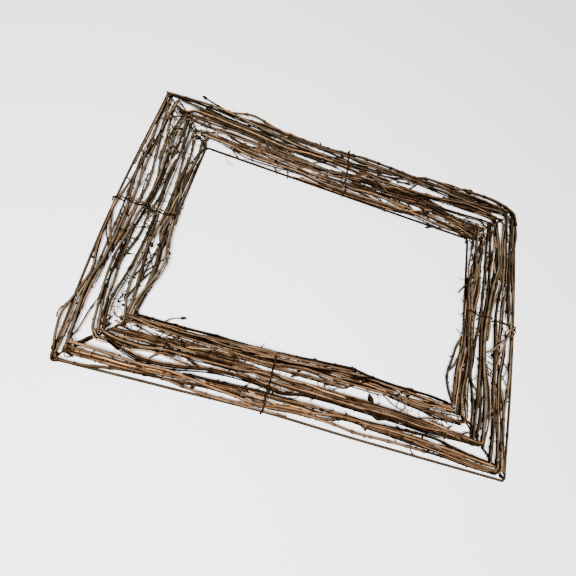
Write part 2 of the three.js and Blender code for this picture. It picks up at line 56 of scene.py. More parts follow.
# The camera stands over the front left of the table, a little turned about its own line of sight,
# and looks down on the wreath as the photograph does.
EYE = np.array([-94.6, -237.4, 465.5])
camera_data = bpy.data.cameras.new("camera")
camera_data.lens = 30.12
camera_data.sensor_width = 36
camera_data.clip_start = 0.01
camera_data.clip_end = 20
camera = bpy.data.objects.new("camera", camera_data)
bpy.context.scene.collection.objects.link(camera)
camera.matrix_world = Matrix((
    (0.94914, -0.29174, -0.11841, (EYE[0] + CENTRE[0]) / 1000),
    (0.22219, 0.88707, -0.40464, (EYE[1] + CENTRE[1]) / 1000),
    (0.22309, 0.35775, 0.90678, EYE[2] / 1000),
    (0, 0, 0, 1),
))
bpy.context.scene.camera = camera

# The table is a wide white sheet that glows a little to the camera, as for a cut-out picture. A soft
# lamp behind the camera lights the tops of the twigs. A large dim one and a pale room fill in.
TABLE_REACH = 4
TABLE_GREY = 0.5
TABLE_GLOW = 0.95
ROOM_LIGHT = 0.15
table_mesh = bpy.data.meshes.new("table")
table_corners = [(TABLE_REACH * x, TABLE_REACH * y, 0) for x, y in ((-1, -1), (1, -1), (1, 1), (-1, 1))]
table_mesh.from_pydata(table_corners, [], [(0, 1, 2, 3)])
table = bpy.data.objects.new("table", table_mesh)
bpy.context.scene.collection.objects.link(table)
table_paint = bpy.data.materials.new("white table")
table_paint.use_nodes = True
table_finish = table_paint.node_tree.nodes["Principled BSDF"].inputs
table_finish["Base Color"].default_value = (TABLE_GREY, TABLE_GREY, TABLE_GREY, 1)
table_finish["Roughness"].default_value = 0.8
table_finish["Emission Color"].default_value = (1, 1, 1, 1)
seen = table_paint.node_tree.nodes.new("ShaderNodeLightPath").outputs["Is Camera Ray"]
glow = table_paint.node_tree.nodes.new("ShaderNodeMath")
glow.operation = "MULTIPLY"
glow.inputs[1].default_value = TABLE_GLOW
table_paint.node_tree.links.new(seen, glow.inputs[0])
table_paint.node_tree.links.new(glow.outputs[0], table_finish["Emission Strength"])
table_mesh.materials.append(table_paint)

for name, place, size, power in (("lamp behind the camera", (-0.22, -0.54, 1.07), 0.25, 80),
                                 ("overhead lamp", (0.5, 0.5, 1.5), 1.0, 8)):
    lamp_data = bpy.data.lights.new(name, "AREA")
    lamp_data.shape = "DISK"
    lamp_data.size = size
    lamp_data.energy = power
    lamp = bpy.data.objects.new(name, lamp_data)
    lamp.location = place
    lamp.rotation_mode = "QUATERNION"
    lamp.rotation_quaternion = (-Vector(place)).to_track_quat("-Z", "Y")
    bpy.context.scene.collection.objects.link(lamp)
room = bpy.data.worlds.new("room")
bpy.context.scene.world = room
room.use_nodes = True
room.node_tree.nodes["Background"].inputs["Color"].default_value = (1, 1, 1, 1)
room.node_tree.nodes["Background"].inputs["Strength"].default_value = ROOM_LIGHT


# The frame is two loops of coated steel wire, one in the other, that lie flat on the table. The
# outer loop bows in on its long sides and out on its short ones. Each is bent round at its corners.
def smooth_path(points, step):
    """Points about every step along a smooth line through the given ones, which may be unevenly spaced."""
    points = np.array(points, float)
    ends = np.vstack([2 * points[0] - points[1], points, 2 * points[-1] - points[-2]])
    knots = np.concatenate([[0], np.cumsum(np.sqrt(np.linalg.norm(np.diff(ends, axis=0), axis=1)))])

    def between(one, other, begin, end, t):
        return ((end - t) * one + (t - begin) * other) / (end - begin)

    line = []
    for i in range(1, len(ends) - 2):
        count = max(2, round(np.linalg.norm(ends[i + 1] - ends[i]) / step))
        for t in np.linspace(knots[i], knots[i + 1], count, endpoint=False):
            first = [between(ends[k], ends[k + 1], knots[k], knots[k + 1], t) for k in range(i - 1, i + 2)]
            second = [between(*first[n:n + 2], knots[k], knots[k + 2], t) for n, k in enumerate((i - 1, i))]
            line.append(between(*second, knots[i], knots[i + 1], t))
    return np.array(line + [points[-1]])


def add_sockets(tree, in_out, sockets):
    """The named inputs or outputs of a node group, each with its kind and the value it starts with."""
    for name, kind, *value in sockets:
        socket = tree.interface.new_socket(name=name, in_out=in_out, socket_type="NodeSocket" + kind)
        if value:
            socket.default_value = value[0]


def add_node(tree, kind, sockets=None, **settings):
    """A node with its settings, and its sockets set to a value or joined to another node's output."""
    node = tree.nodes.new(kind)
    for key, value in settings.items():
        setattr(node, key, value)
    for key, value in (sockets or {}).items():
        if isinstance(value, bpy.types.NodeSocket):
            tree.links.new(value, node.inputs[key])
        else:
            node.inputs[key].default_value = value
    return node.outputs


def calculate(tree, operation, *values):
    return add_node(tree, "ShaderNodeMath", dict(enumerate(values)), operation=operation)[0]


def calculate_vector(tree, operation, one, other, socket=1):
    return add_node(tree, "ShaderNodeVectorMath", {0: one, socket: other}, operation=operation)[0]


def add_up(tree, first, *others):
    for other in others:
        first = calculate(tree, "ADD", first, other)
    return first


def swing(tree, noise, amount):
    """A noise, which runs from nought to one, as a change either way of up to half the amount."""
    return calculate(tree, "MULTIPLY", calculate(tree, "SUBTRACT", noise, 0.5), amount)


def change_range(tree, value, old, new, interpolation="SMOOTHSTEP"):
    return add_node(tree, "ShaderNodeMapRange", {
        "Value": value, "From Min": old[0], "From Max": old[1], "To Min": new[0], "To Max": new[1],
    }, interpolation_type=interpolation)["Result"]


def split_vector(tree, vector):
    return add_node(tree, "ShaderNodeSeparateXYZ", {"Vector": vector})


def join_vector(tree, x, y, z):
    return add_node(tree, "ShaderNodeCombineXYZ", {"X": x, "Y": y, "Z": z})["Vector"]


def read_attribute(tree, name, data_type="FLOAT"):
    found = add_node(tree, "GeometryNodeInputNamedAttribute", {"Name": name}, data_type=data_type)
    return found["Attribute"]


def store(tree, geometry, name, value, data_type="FLOAT"):
    """The geometry, with the value kept on its points under that name."""
    return add_node(tree, "GeometryNodeStoreNamedAttribute", {
        "Geometry": geometry, "Name": name, "Value": value,
    }, data_type=data_type, domain="POINT")[0]


def stem_tree():
    """Round stems along edge paths: their width, tone, seed and spacing of joints are point attributes."""
    tree = bpy.data.node_groups.new("stems along paths", "GeometryNodeTree")
    tree.is_modifier = True
    add_sockets(tree, "OUTPUT", [("Stems", "Geometry")])
    add_sockets(tree, "INPUT", [
        ("Paths", "Geometry"), ("Step", "Float", 0.0025), ("Wander", "Float", 0.0006),
        ("Joint Swelling", "Float", 0.2), ("Joint Reach", "Float", 0.003), ("Relief", "Float", 0.1),
        ("Lowest", "Float", 0.0), ("Highest", "Float", 0.0158), ("Sides", "Int", 8), ("Finish", "Material"),
    ])
    given = add_node(tree, "NodeGroupInput")
    place = add_node(tree, "GeometryNodeInputPosition")[0]
    seed = read_attribute(tree, "seed")
    half_width = read_attribute(tree, "half_width")
    line = add_node(tree, "GeometryNodeMeshToCurve", {"Mesh": given["Paths"]})[0]
    line = add_node(tree, "GeometryNodeCurveSplineType", {"Curve": line}, spline_type="CATMULL_ROM")[0]
    line = add_node(tree, "GeometryNodeResampleCurve", {"Curve": line, "Length": given["Step"]},
                    mode="LENGTH")[0]
    drift = add_node(tree, "ShaderNodeTexNoise", {"Vector": place, "W": seed, "Scale": 45.0, "Detail": 1.0},
                     noise_dimensions="4D")["Color"]
    drift = calculate_vector(tree, "SUBTRACT", drift, (0.5, 0.5, 0.5))
    line = add_node(tree, "GeometryNodeSetPosition", {
        "Geometry": line, "Offset": calculate_vector(tree, "SCALE", drift, given["Wander"], "Scale"),
    })[0]
    run = add_node(tree, "GeometryNodeSplineParameter")["Length"]
    every = read_attribute(tree, "joint_every")
    passed = calculate(tree, "FRACT", add_up(tree, calculate(tree, "DIVIDE", run, every), seed))
    from_joint = calculate(tree, "MULTIPLY", calculate(
        tree, "ABSOLUTE", calculate(tree, "SUBTRACT", passed, 0.5)), every)
    joint = change_range(tree, from_joint, (0.0, given["Joint Reach"]), (1.0, 0.0))
    line = store(tree, store(tree, line, "joint", joint), "run", run)
    width = calculate(tree, "MULTIPLY", half_width, add_up(
        tree, calculate(tree, "MULTIPLY", joint, given["Joint Swelling"]), 1.0))
    ring = add_node(tree, "GeometryNodeCurvePrimitiveCircle", {"Resolution": given["Sides"], "Radius": 1.0},
                    mode="RADIUS")[0]
    skin = add_node(tree, "GeometryNodeCurveToMesh", {
        "Curve": line, "Profile Curve": store(tree, ring, "ring", place, "FLOAT_VECTOR"), "Scale": width,
        "Fill Caps": True,
    })[0]
    across = split_vector(tree, calculate_vector(
        tree, "SCALE", read_attribute(tree, "ring", "FLOAT_VECTOR"), half_width, "Scale"))
    along = add_up(tree, read_attribute(tree, "run"), calculate(tree, "MULTIPLY", seed, 3.7))
    skin = store(tree, skin, "grain", join_vector(tree, along, across["X"], across["Y"]), "FLOAT_VECTOR")
    # The upward share of each normal is kept so that the bark can paint shade on the flanks and underside of
    # each stem.
    normal = add_node(tree, "GeometryNodeInputNormal")["Normal"]
    skin = store(tree, skin, "upward", split_vector(tree, normal)["Z"])
    lumps = add_node(tree, "ShaderNodeTexNoise", {
        "Vector": read_attribute(tree, "grain", "FLOAT_VECTOR"), "Scale": 170.0, "Detail": 2.0,
    }, noise_dimensions="3D")[0]
    lump = swing(tree, lumps, calculate(tree, "MULTIPLY", given["Relief"], half_width))
    skin = add_node(tree, "GeometryNodeSetPosition",
                    {"Geometry": skin, "Offset": calculate_vector(tree, "SCALE", normal, lump, "Scale")})[0]
    spread = split_vector(tree, place)
    level = calculate(tree, "MAXIMUM", spread["Z"], given["Lowest"])
    level = calculate(tree, "MINIMUM", level, given["Highest"])
    skin = add_node(tree, "GeometryNodeSetPosition",
                    {"Geometry": skin, "Position": join_vector(tree, spread["X"], spread["Y"], level)})[0]
    skin = add_node(tree, "GeometryNodeSetShadeSmooth", {"Geometry": skin})[0]
    skin = add_node(tree, "GeometryNodeRealizeInstances", {"Geometry": skin})[0]
    skin = add_node(tree, "GeometryNodeSetMaterial", {"Geometry": skin, "Material": given["Finish"]})[0]
    tree.links.new(skin, tree.nodes.new("NodeGroupOutput").inputs["Stems"])
    return tree


STEMS = stem_tree()


NO_JOINTS = 1000.0


def stem(points, half_width, tone=0.5, joint_every=NO_JOINTS, seed=0.0, warmth=0.5):
    """One stem: its middle line in millimetres, and a half width that may differ from point to point.

    Tone runs from nought, which is black, to one, which is pale.
    """
    points = np.array(points, float)
    return {
        "points": points,
        "half_width": np.broadcast_to(np.array(half_width, float), len(points)).copy(),
        "tone": np.broadcast_to(np.array(tone, float), len(points)).copy(),
        "joint_every": joint_every,
        "seed": seed,
        "warmth": warmth,
    }


def grow_stems(name, stems, finish, **sizes):
    """The stems as one plain mesh, by way of the tree above."""
    places = np.vstack([item["points"] for item in stems]) + CENTRE
    edges = []
    begin = 0
    for item in stems:
        edges += [(begin + k, begin + k + 1) for k in range(len(item["points"]) - 1)]
        begin += len(item["points"])
    paths_mesh = bpy.data.meshes.new(name + "_paths")
    paths_mesh.from_pydata((places / 1000).tolist(), edges, [])
    for key, unit in (("half_width", 1000), ("tone", 1), ("joint_every", 1000), ("seed", 1), ("warmth", 1)):
        numbers = np.concatenate([np.broadcast_to(item[key], len(item["points"])) for item in stems]) / unit
        values = paths_mesh.attributes.new(key, "FLOAT", "POINT").data
        values.foreach_set("value", numbers.astype(np.float32))
    paths = bpy.data.objects.new(name + "_paths", paths_mesh)
    bpy.context.scene.collection.objects.link(paths)
    modifier = paths.modifiers.new("stems", "NODES")
    modifier.node_group = STEMS
    sizes["Finish"] = finish
    for item in STEMS.interface.items_tree:
        if item.in_out == "INPUT" and item.name in sizes:
            modifier[item.identifier] = sizes[item.name]
    view_layer = bpy.context.evaluated_depsgraph_get()
    mesh = bpy.data.meshes.new_from_object(paths.evaluated_get(view_layer), depsgraph=view_layer)
    bpy.data.objects.remove(paths)
    mesh.name = name
    piece = bpy.data.objects.new(name, mesh)
    bpy.context.scene.collection.objects.link(piece)
    return piece


def add_ramp(tree, value, colors):
    """A colour from a number, by way of the colours at the given places between nought and one."""
    ramp = tree.nodes.new("ShaderNodeValToRGB")
    tree.links.new(value, ramp.inputs["Fac"])
    bands = ramp.color_ramp.elements
    for position, _ in colors[1:-1]:
        bands.new(position)
    for band, (position, color) in zip(bands, colors):
        band.position = position
        band.color = (*color, 1)
    return ramp.outputs["Color"]


def bark_skin():
    """Colour, roughness and height of bark from a tone, with streaks along the stem and dark joints. It also
    paints shade on the flanks and underside of each stem, which leaves a painted highlight along its top.
    """
    tree = bpy.data.node_groups.new("bark skin", "ShaderNodeTree")
    add_sockets(tree, "INPUT", [
        ("Tone", "Float", 0.5), ("Joint", "Float", 0.0), ("Grain", "Vector", (0, 0, 0)),
        ("Warmth", "Float", 0.5), ("Upward", "Float", 1.0), ("Patchiness", "Float", 0.5),
        ("Streaks", "Float", 0.5), ("Dark Joints", "Float", 0.14), ("Dark Flanks", "Float", 0.6),
    ])
    add_sockets(tree, "OUTPUT", [("Color", "Color"), ("Roughness", "Float"), ("Height", "Float")])
    given = add_node(tree, "NodeGroupInput")

    def noise(stretch, detail, roughness):
        return add_node(tree, "ShaderNodeTexNoise", {
            "Vector": calculate_vector(tree, "MULTIPLY", given["Grain"], stretch),
            "Scale": 1.0, "Detail": detail, "Roughness": roughness,
        })[0]

    patch = noise((28.0, 90.0, 90.0), 3.0, 0.6)
    streak = noise((70.0, 1500.0, 1500.0), 4.0, 0.65)
    # Painted shade: the colour darkens from the top of the stem down its flanks to its underside, by how far
    # each surface faces up. The dark joints added below are the bark's own colour.
    painted_flank_shade = change_range(tree, given["Upward"], (0.2, 1.0), (-1.0, 0.0))
    painted_shade_and_dark_joints = calculate(tree, "SUBTRACT", calculate(tree, "MULTIPLY", painted_flank_shade, given["Dark Flanks"]),
                       calculate(tree, "MULTIPLY", given["Joint"], given["Dark Joints"]))
    tone = calculate(tree, "ADD", add_up(tree, given["Tone"], swing(tree, patch, given["Patchiness"])),
                     add_up(tree, swing(tree, streak, given["Streaks"]), painted_shade_and_dark_joints))
    color = add_ramp(tree, tone, [
        (0.0, (0.0014, 0.0007, 0.0003)), (0.22, (0.0075, 0.0044, 0.0021)), (0.42, (0.027, 0.0172, 0.0097)),
        (0.62, (0.077, 0.0495, 0.0288)), (0.8, (0.195, 0.118, 0.063)), (1.0, (0.47, 0.262, 0.11)),
    ])
    tint = add_ramp(tree, given["Warmth"], [(0.0, (0.86, 1.0, 1.12)), (1.0, (1.14, 0.94, 0.80))])
    given_back = tree.nodes.new("NodeGroupOutput").inputs
    tree.links.new(calculate_vector(tree, "MULTIPLY", color, tint), given_back["Color"])
    tree.links.new(change_range(tree, tone, (0.15, 0.75), (0.62, 0.4), "LINEAR"), given_back["Roughness"])
    tree.links.new(calculate(tree, "ADD", calculate(tree, "MULTIPLY", streak, 0.6), calculate(
        tree, "MULTIPLY", patch, 0.4)), given_back["Height"])
    return tree


BARK = bark_skin()


def stem_finish(name, relief, **skin):
    """A material that wears the bark skin, reading the stem's own tone and grain."""
    finish = bpy.data.materials.new(name)
    finish.use_nodes = True
    tree = finish.node_tree
    shader = tree.nodes["Principled BSDF"].inputs
    bark = tree.nodes.new("ShaderNodeGroup")
    bark.node_tree = BARK
    for key, value in skin.items():
        bark.inputs[key].default_value = value
    # Upward drives the bark's painted shade on the flanks and undersides.
    for key in ("Tone", "Joint", "Grain", "Warmth", "Upward"):
        own = add_node(tree, "ShaderNodeAttribute", attribute_name=key.lower())
        tree.links.new(own["Vector" if key == "Grain" else "Fac"], bark.inputs[key])
    bump = add_node(tree, "ShaderNodeBump", {
        "Height": bark.outputs["Height"], "Distance": relief, "Strength": 0.7,
    })
    tree.links.new(bark.outputs["Color"], shader["Base Color"])
    tree.links.new(bark.outputs["Roughness"], shader["Roughness"])
    tree.links.new(bump["Normal"], shader["Normal"])
    shader["Specular IOR Level"].default_value = 0.0
    return finish


WIRE_HALF_WIDTH = 1.35
WIRE_TONE = 0.42
INNER_WIRE_TONE = 0.32
WIRE_STEP = 8
CORNER_ROUNDING = (2.2, 9)
wire_coat = stem_finish("brown wire coat", 0.0001, Patchiness=0.35, Streaks=0.12)
OUTER_BOWS = {
    "bottom": [(-120, 1.8), (-29, 3.6), (60, 1.6)],
    "top": [(-100, 0.8), (20, 1.4), (120, 0.6)],
    "left": [(-80, -3.6), (-10, -5), (70, -3.4)],
    "right": [(-80, -2.6), (0, -3.6), (80, -2.4)],
}
# Each side of the outer wire: its middle, the ways along and inward, half its length, and its axis.
half_long, half_short = WIRE_LENGTH / 2, WIRE_HEIGHT / 2
SIDES = {
    "bottom": {"start": (0, -half_short), "along": (1, 0), "inward": (0, 1), "half": half_long, "axis": 0},
    "top": {"start": (0, half_short), "along": (1, 0), "inward": (0, -1), "half": half_long, "axis": 0},
    "left": {"start": (-half_long, 0), "along": (0, 1), "inward": (1, 0), "half": half_short, "axis": 1},
    "right": {"start": (half_long, 0), "along": (0, 1), "inward": (-1, 0), "half": half_short, "axis": 1},
}
OUTER_CORNERS = [(-half_long, -half_short), (half_long, -half_short), (half_long, half_short),
                 (-half_long, half_short)]
INNER_CORNERS = [(-173, -108), (174, -110), (166, 103), (-165, 108)]


def spot(side, s, v, height=0.0):
    """The place that looks, from the camera, to be s along a side of the table and v in from its wire."""
    start, along, inward = (np.array(SIDES[side][key] + (0.0,)) for key in ("start", "along", "inward"))
    return (start + s * along + v * inward) * (1 - height / EYE[2]) + EYE * height / EYE[2]


def wire_loop(corners, bows):
    """A closed loop's middle line: corner bends, and between them the bows of each side."""
    line = []
    for corner, side in enumerate(("bottom", "right", "top", "left")):
        here, there = np.array(corners[corner], float), np.array(corners[(corner + 1) % 4], float)
        way = (there - here) / np.linalg.norm(there - here)
        line += [here + length * way for length in CORNER_ROUNDING]
        bowed = bows[side] if side in ("bottom", "right") else reversed(bows[side])
        line += [spot(side, s, v)[:2] for s, v in bowed]
        line += [there - length * way for length in reversed(CORNER_ROUNDING)]
    flat = smooth_path(line + [line[0]], WIRE_STEP)
    return np.column_stack([flat, np.full(len(flat), WIRE_HALF_WIDTH)])


for ring, corners, bows, tone in (("outer_wire", OUTER_CORNERS, OUTER_BOWS, WIRE_TONE),
                                  ("inner_wire", INNER_CORNERS, dict.fromkeys(SIDES, []), INNER_WIRE_TONE)):
    piece = grow_stems(ring, [stem(wire_loop(corners, bows), WIRE_HALF_WIDTH, tone)], wire_coat,
                       Step=0.004, Wander=0.0, Sides=12, Relief=0.06)
    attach(piece, "root")
    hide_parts(*[f"{ring}_{side}" for side in SIDES])


# A strut joins the two loops at each corner. It is a straight piece of thinner wire with its ends
# wound round both loops, and more of the same wire is wound loosely about its middle.
STRUT_HALF_WIDTH = 1.0
STRUT_TONE = 0.26
STRUT_LEVEL = 1.1
STRUT_BOW = 0.8
FROM_OUTER_CORNER = 3.4
FROM_INNER_CORNER = 2.6
# Each winding: its place along the strut, its turns, and how far apart they are.
WINDINGS = ((0.04, 3, 1.1), (0.4, 7, 3.2), (0.96, 4, 1.1))
WINDING_HALF_WIDTH = 0.6
WINDING_TONE = 0.22
WINDING_LEVEL = 1.5
WINDING_RADIUS = 1.5
WINDING_STEPS = 10
CORNER_NAMES = ["bottom_left", "bottom_right", "top_right", "top_left"]


def coil(centre, way, turns, pitch, start):
    """A winding of wire about a line through centre."""
    way = np.array(way, float) / np.linalg.norm(way)
    side = np.cross(way, (0, 0, 1.0))
    side /= np.linalg.norm(side)
    up = np.cross(side, way)
    line = []
    for k in range(WINDING_STEPS * turns + 1):
        angle = start + 2 * math.pi * k / WINDING_STEPS
        line.append(centre + (k / WINDING_STEPS - turns / 2) * pitch * way
                    + WINDING_RADIUS * (math.cos(angle) * side + math.sin(angle) * up))
    return line


for k, corner in enumerate(CORNER_NAMES):
    outer, inner = np.array(OUTER_CORNERS[k], float), np.array(INNER_CORNERS[k], float)
    way = (inner - outer) / np.linalg.norm(inner - outer)
    start, end = outer + FROM_OUTER_CORNER * way, inner - FROM_INNER_CORNER * way
    middle = (start + end) / 2 + STRUT_BOW * np.array([way[1], -way[0]])
    line = smooth_path([(*place, STRUT_LEVEL) for place in (start, middle, end)], 6)
    parts = [stem(line, STRUT_HALF_WIDTH, STRUT_TONE)]
    for share, turns, pitch in WINDINGS:
        centre = np.array([*(start + share * (end - start)), WINDING_LEVEL])
        winding = coil(centre, (*way, 0), turns, pitch, k + share)
        parts.append(stem(winding, WINDING_HALF_WIDTH, WINDING_TONE, seed=k + share))
    strut = grow_stems(f"corner_strut_{corner}", parts, wire_coat, Step=0.0012, Wander=0.0004, Sides=8,
                       Relief=0.06)
    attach(strut, "root")
    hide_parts(f"corner_strut_{corner}")


# The outer row is the first to be laid on the wires: long vine twigs that lie close to the outer
# loop, most of them held at the corners, where many bend round into the next side.
TONES = {"black": 0.14, "deep": 0.22, "dark": 0.31, "grey": 0.42, "brown": 0.50, "tan": 0.59, "pale": 0.68,
         "bright": 0.69}
TWIG_FLOOR = 2.7
LAYER_HEIGHT = 2.7
TWIG_WAVE = 0.7
CORNER_ZONE = 22
CORNER_REACH = 12
TWIG_STEP = 5
CORNER_CUTS = (2, 8)
BEND_FULLNESS = 1.2
BEND_POINTS = 8
UNEVENNESS = 0.07
TONE_SPREAD = 0.06
HIGHEST = 15.3
END_TAPER = (0.45, 0.7, 0.88, 0.96)
BLUNT_TAPER = (0.62, 0.78, 0.9, 0.97)
TWIG_JOINTS = (24, 44)
SEEDS = (0, 40)


def read_lane(lane):
    """The numbers of each place along a lane: s and v as they look from the camera, and any spread."""
    return [tuple(float(number) for number in place.split(",")) for place in lane.split()]


def read_twig(side, order, diameter, layer, tone, lane):
    """A twig's middle line from its lane, led on into the corners that it reaches.

    The lowest layer, 1, lies on the wires.
    """
    half_width = diameter / 2
    level = TWIG_FLOOR + TWIG_WAVE + half_width + (layer - 1) * LAYER_HEIGHT
    pairs = read_lane(lane)
    first, last = pairs[0], pairs[-1]
    ends = [abs(s) + v > SIDES[side]["half"] - CORNER_ZONE for s, v in (first, last)]
    if ends[0]:
        pairs.insert(0, (first[0] + math.copysign(CORNER_REACH, first[0]), first[1]))
    if ends[1]:
        pairs.append((last[0] + math.copysign(CORNER_REACH, last[0]), last[1]))
    line = smooth_path([spot(side, s, v, level + TWIG_WAVE * math.sin(1.9 * i + 2.3 * order))
                        for i, (s, v) in enumerate(pairs)], TWIG_STEP)
    return {"side": side, "line": line, "half_width": half_width, "tone": TONES[tone], "ends": ends,
            "reach": [first, last]}


def trim(line, length):
    """The line without that length of its last end."""
    steps = np.linalg.norm(np.diff(line, axis=0), axis=1)
    return line[:-1][np.cumsum(steps[::-1])[::-1] > length]


def corner_bend(one, other):
    """A smooth bend from the end of one line to the start of the other."""
    span = np.linalg.norm(other[0] - one[-1])
    leave, arrive = ((far - near) * (BEND_FULLNESS * span / np.linalg.norm(far - near))
                     for near, far in ((one[-2], one[-1]), (other[0], other[1])))
    return np.array([(2 * t**3 - 3 * t**2 + 1) * one[-1] + (t**3 - 2 * t**2 + t) * leave
                     + (3 * t**2 - 2 * t**3) * other[0] + (t**3 - t**2) * arrive
                     for t in np.linspace(0, 1, BEND_POINTS)[1:-1]])


def twig_width(count, half_width, ends, rand):
    """Half widths that fall off to a free end, a little uneven on the way."""
    width = half_width * np.array([1 + UNEVENNESS * math.sin(0.9 * k + rand.random()) for k in range(count)])
    for held, end in zip(ends, (slice(None), slice(None, None, -1))):
        if not held and count > 6:
            width[end][:4] *= BLUNT_TAPER
    return width


def ends_in_corner(twigs, positive):
    """The twigs that reach a side's corner, each with which of its ends does."""
    return [(twig, end) for twig in twigs for end in (0, 1)
            if twig["ends"][end] and (twig["reach"][end][0] > 0) == bool(positive)]


def cut_at_corner(twig, end, length):
    """The twig ends in the corner, inside its own side."""
    line = trim(twig["line"] if end == 1 else twig["line"][::-1], length)
    side = SIDES[twig["side"]]
    line = line[np.abs(line[:, side["axis"]]) < side["half"]]
    twig["line"] = line if end == 1 else line[::-1]


def join_at_corner(one, one_at, other, other_at, bend_size):
    """The first twig runs on round the corner and ends inside the other."""
    line = one["line"] if one_at == 1 else one["line"][::-1]
    mate = other["line"] if other_at == 0 else other["line"][::-1]
    line = trim(line, CORNER_REACH + bend_size)
    mate = trim(mate[::-1], CORNER_REACH + bend_size)[::-1]
    bend = corner_bend(line, mate)
    whole = np.vstack([line, bend, mate[:2]])
    one["line"] = whole if one_at == 1 else whole[::-1]
    other["line"] = mate if other_at == 0 else mate[::-1]
    one.setdefault("other", {})[one_at] = (len(bend) + 3, 0.97 * other["half_width"], other["tone"])


# Each corner: its two sides, which end of each is there, and how much of a twig the bend takes up.
CORNERS = [("bottom", 0, "left", 0, 3.0), ("bottom", 1, "right", 0, 3.0), ("top", 1, "right", 1, 8.0),
           ("top", 0, "left", 1, 3.0)]


def lay_row(lanes, bent_within, fullness, seed):
    """All the twigs of a row, as stems for each side.

    Where two of them reach a corner within bent_within of each other, one bends round into the other.
    """
    rand = random.Random(seed)
    twigs = {side: [read_twig(side, order, *lane) for order, lane in enumerate(lanes[side])]
             for side in SIDES}
    for one_side, one_end, other_side, other_end, bend_size in CORNERS:
        ones = ends_in_corner(twigs[one_side], one_end)
        others = ends_in_corner(twigs[other_side], other_end)
        while ones and others:
            apart, i, j = min((abs(one["reach"][a][1] - other["reach"][b][1]), i, j)
                              for i, (one, a) in enumerate(ones) for j, (other, b) in enumerate(others))
            if apart > bent_within:
                break
            join_at_corner(*ones.pop(i), *others.pop(j), bend_size)
        for twig, end in ones + others:
            cut_at_corner(twig, end, rand.uniform(*CORNER_CUTS))
    stems = {side: [] for side in SIDES}
    for side, twig in ((side, twig) for side in SIDES for twig in twigs[side]):
        count = len(twig["line"])
        width = twig_width(count, fullness[side] * twig["half_width"], twig["ends"], rand)
        tone = np.full(count, twig["tone"] + TONE_SPREAD * (rand.random() - 0.5))
        for end, (length, width_there, tone_there) in twig.get("other", {}).items():
            part = slice(-length, None) if end == 1 else slice(0, length)
            fall = np.linspace(1, 0, length) if end == 1 else np.linspace(0, 1, length)
            width[part] = width[part] * fall + width_there * (1 - fall)
            tone[part] = tone[part] * fall + tone_there * (1 - fall)
        stems[side].append(stem(twig["line"], width, tone, rand.uniform(*TWIG_JOINTS), rand.uniform(*SEEDS)))
    return stems


def beside(line, aside, lift):
    """The line moved aside over the table and upward, by amounts that may differ from point to point."""
    across = np.cross(np.gradient(line, axis=0), (0, 0, 1))
    across /= np.linalg.norm(across, axis=1)[:, None]
    return line + across * np.reshape(aside, (-1, 1)) + np.outer(lift, (0, 0, 1))


def tapered(half_width, count):
    """A half width along that many points, falling off at both ends."""
    width = np.full(count, half_width)
    width[:4] *= END_TAPER
    width[-4:] *= END_TAPER[::-1]
    return width


def between_floor_and_top(line, width):
    """The line kept clear of the wires below and the highest twigs above."""
    line[:, 2] = np.clip(line[:, 2], TWIG_FLOOR + width, HIGHEST - width)
    return line


# By the number of shoots in a bundle: where across the twig each lies, and its share of the width.
BUNDLES = {
    3: ((-0.90, 0.36), (0.0, 0.62), (0.96, 0.34)),
    2: ((-0.34, 0.76), (0.98, 0.42)),
    1: ((0.0, 1.0),),
}
BUNDLE_WIDTHS = (1.9, 2.1)
WIDTH_SPREAD = (0.9, 1.12)
LATEST_START = 0.14
EARLIEST_END = 0.84
THINNEST = 0.68
SHORTEST = 14
# The tone and joints of the dark shoot laid under a full bundle as painted shadow.
PAINTED_SHADOW_TONE = 0.15
PAINTED_SHADOW_JOINTS = 34
BUNDLE_JOINTS = (16, 46)
PALE_FROM = 0.4
DARKEST = 0.05
LIGHT_SHIFTS = (-0.52, -0.44, -0.36, -0.26, -0.1)
DARK_SHIFTS = (-0.12, -0.05, 0.1, 0.22, 0.32)


def bundle(stems, seed):
    """Each twig as the thin shoots that lie close together along it, the widest in its own tone, and under
    the fullest a dark shoot that is painted shadow.
    """
    rand = random.Random(seed)
    shoots = []
    for item in stems:
        line, half = item["points"], item["half_width"]
        if len(line) < SHORTEST:
            shoots.append(item)
            continue
        widest = half.max()
        count = 1 + sum(widest > width for width in BUNDLE_WIDTHS)
        lead = max(share for _, share in BUNDLES[count])
        for place, share in BUNDLES[count]:
            leading = share == lead
            first = 0 if leading else int(rand.uniform(0, LATEST_START) * len(line))
            last = len(line) if leading else int(rand.uniform(EARLIEST_END, 1.0) * len(line))
            part = line[first:last]
            width = np.maximum(half[first:last] * share * rand.uniform(*WIDTH_SPREAD), THINNEST)
            t = np.arange(len(part)) * rand.uniform(0.08, 0.2) + rand.uniform(0, 6)
            aside = widest * (place + 0.16 * np.sin(t) + 0.05 * np.sin(2.7 * t))
            lift = widest * (0.45 * np.cos(1.3 * t + rand.uniform(0, 6)) - 0.2 * (not leading))
            tone = item["tone"][first:last]
            if not leading:
                shifts = LIGHT_SHIFTS if item["tone"].mean() > PALE_FROM else DARK_SHIFTS
                tone = max(DARKEST, tone.mean() + rand.choice(shifts))
                width = width * tapered(1.0, len(part))
            own = between_floor_and_top(beside(part, aside, lift), width)
            shoots.append(stem(own, width, tone, rand.uniform(*BUNDLE_JOINTS), rand.uniform(*SEEDS)))
        # Under a full bundle lies a dark shoot that is painted shadow: it stands in for the shade between
        # the stacked shoots.
        if count == max(BUNDLES):
            part, width = line[2:-2], 0.5 * half[2:-2] * tapered(1.0, len(line) - 4)
            under = beside(part, 0.0, -0.9 * widest * np.ones(len(part)))
            under[:, 2] = np.maximum(under[:, 2], TWIG_FLOOR + width)
            shoots.append(stem(under, width, PAINTED_SHADOW_TONE, PAINTED_SHADOW_JOINTS, rand.uniform(*SEEDS)))
    return shoots


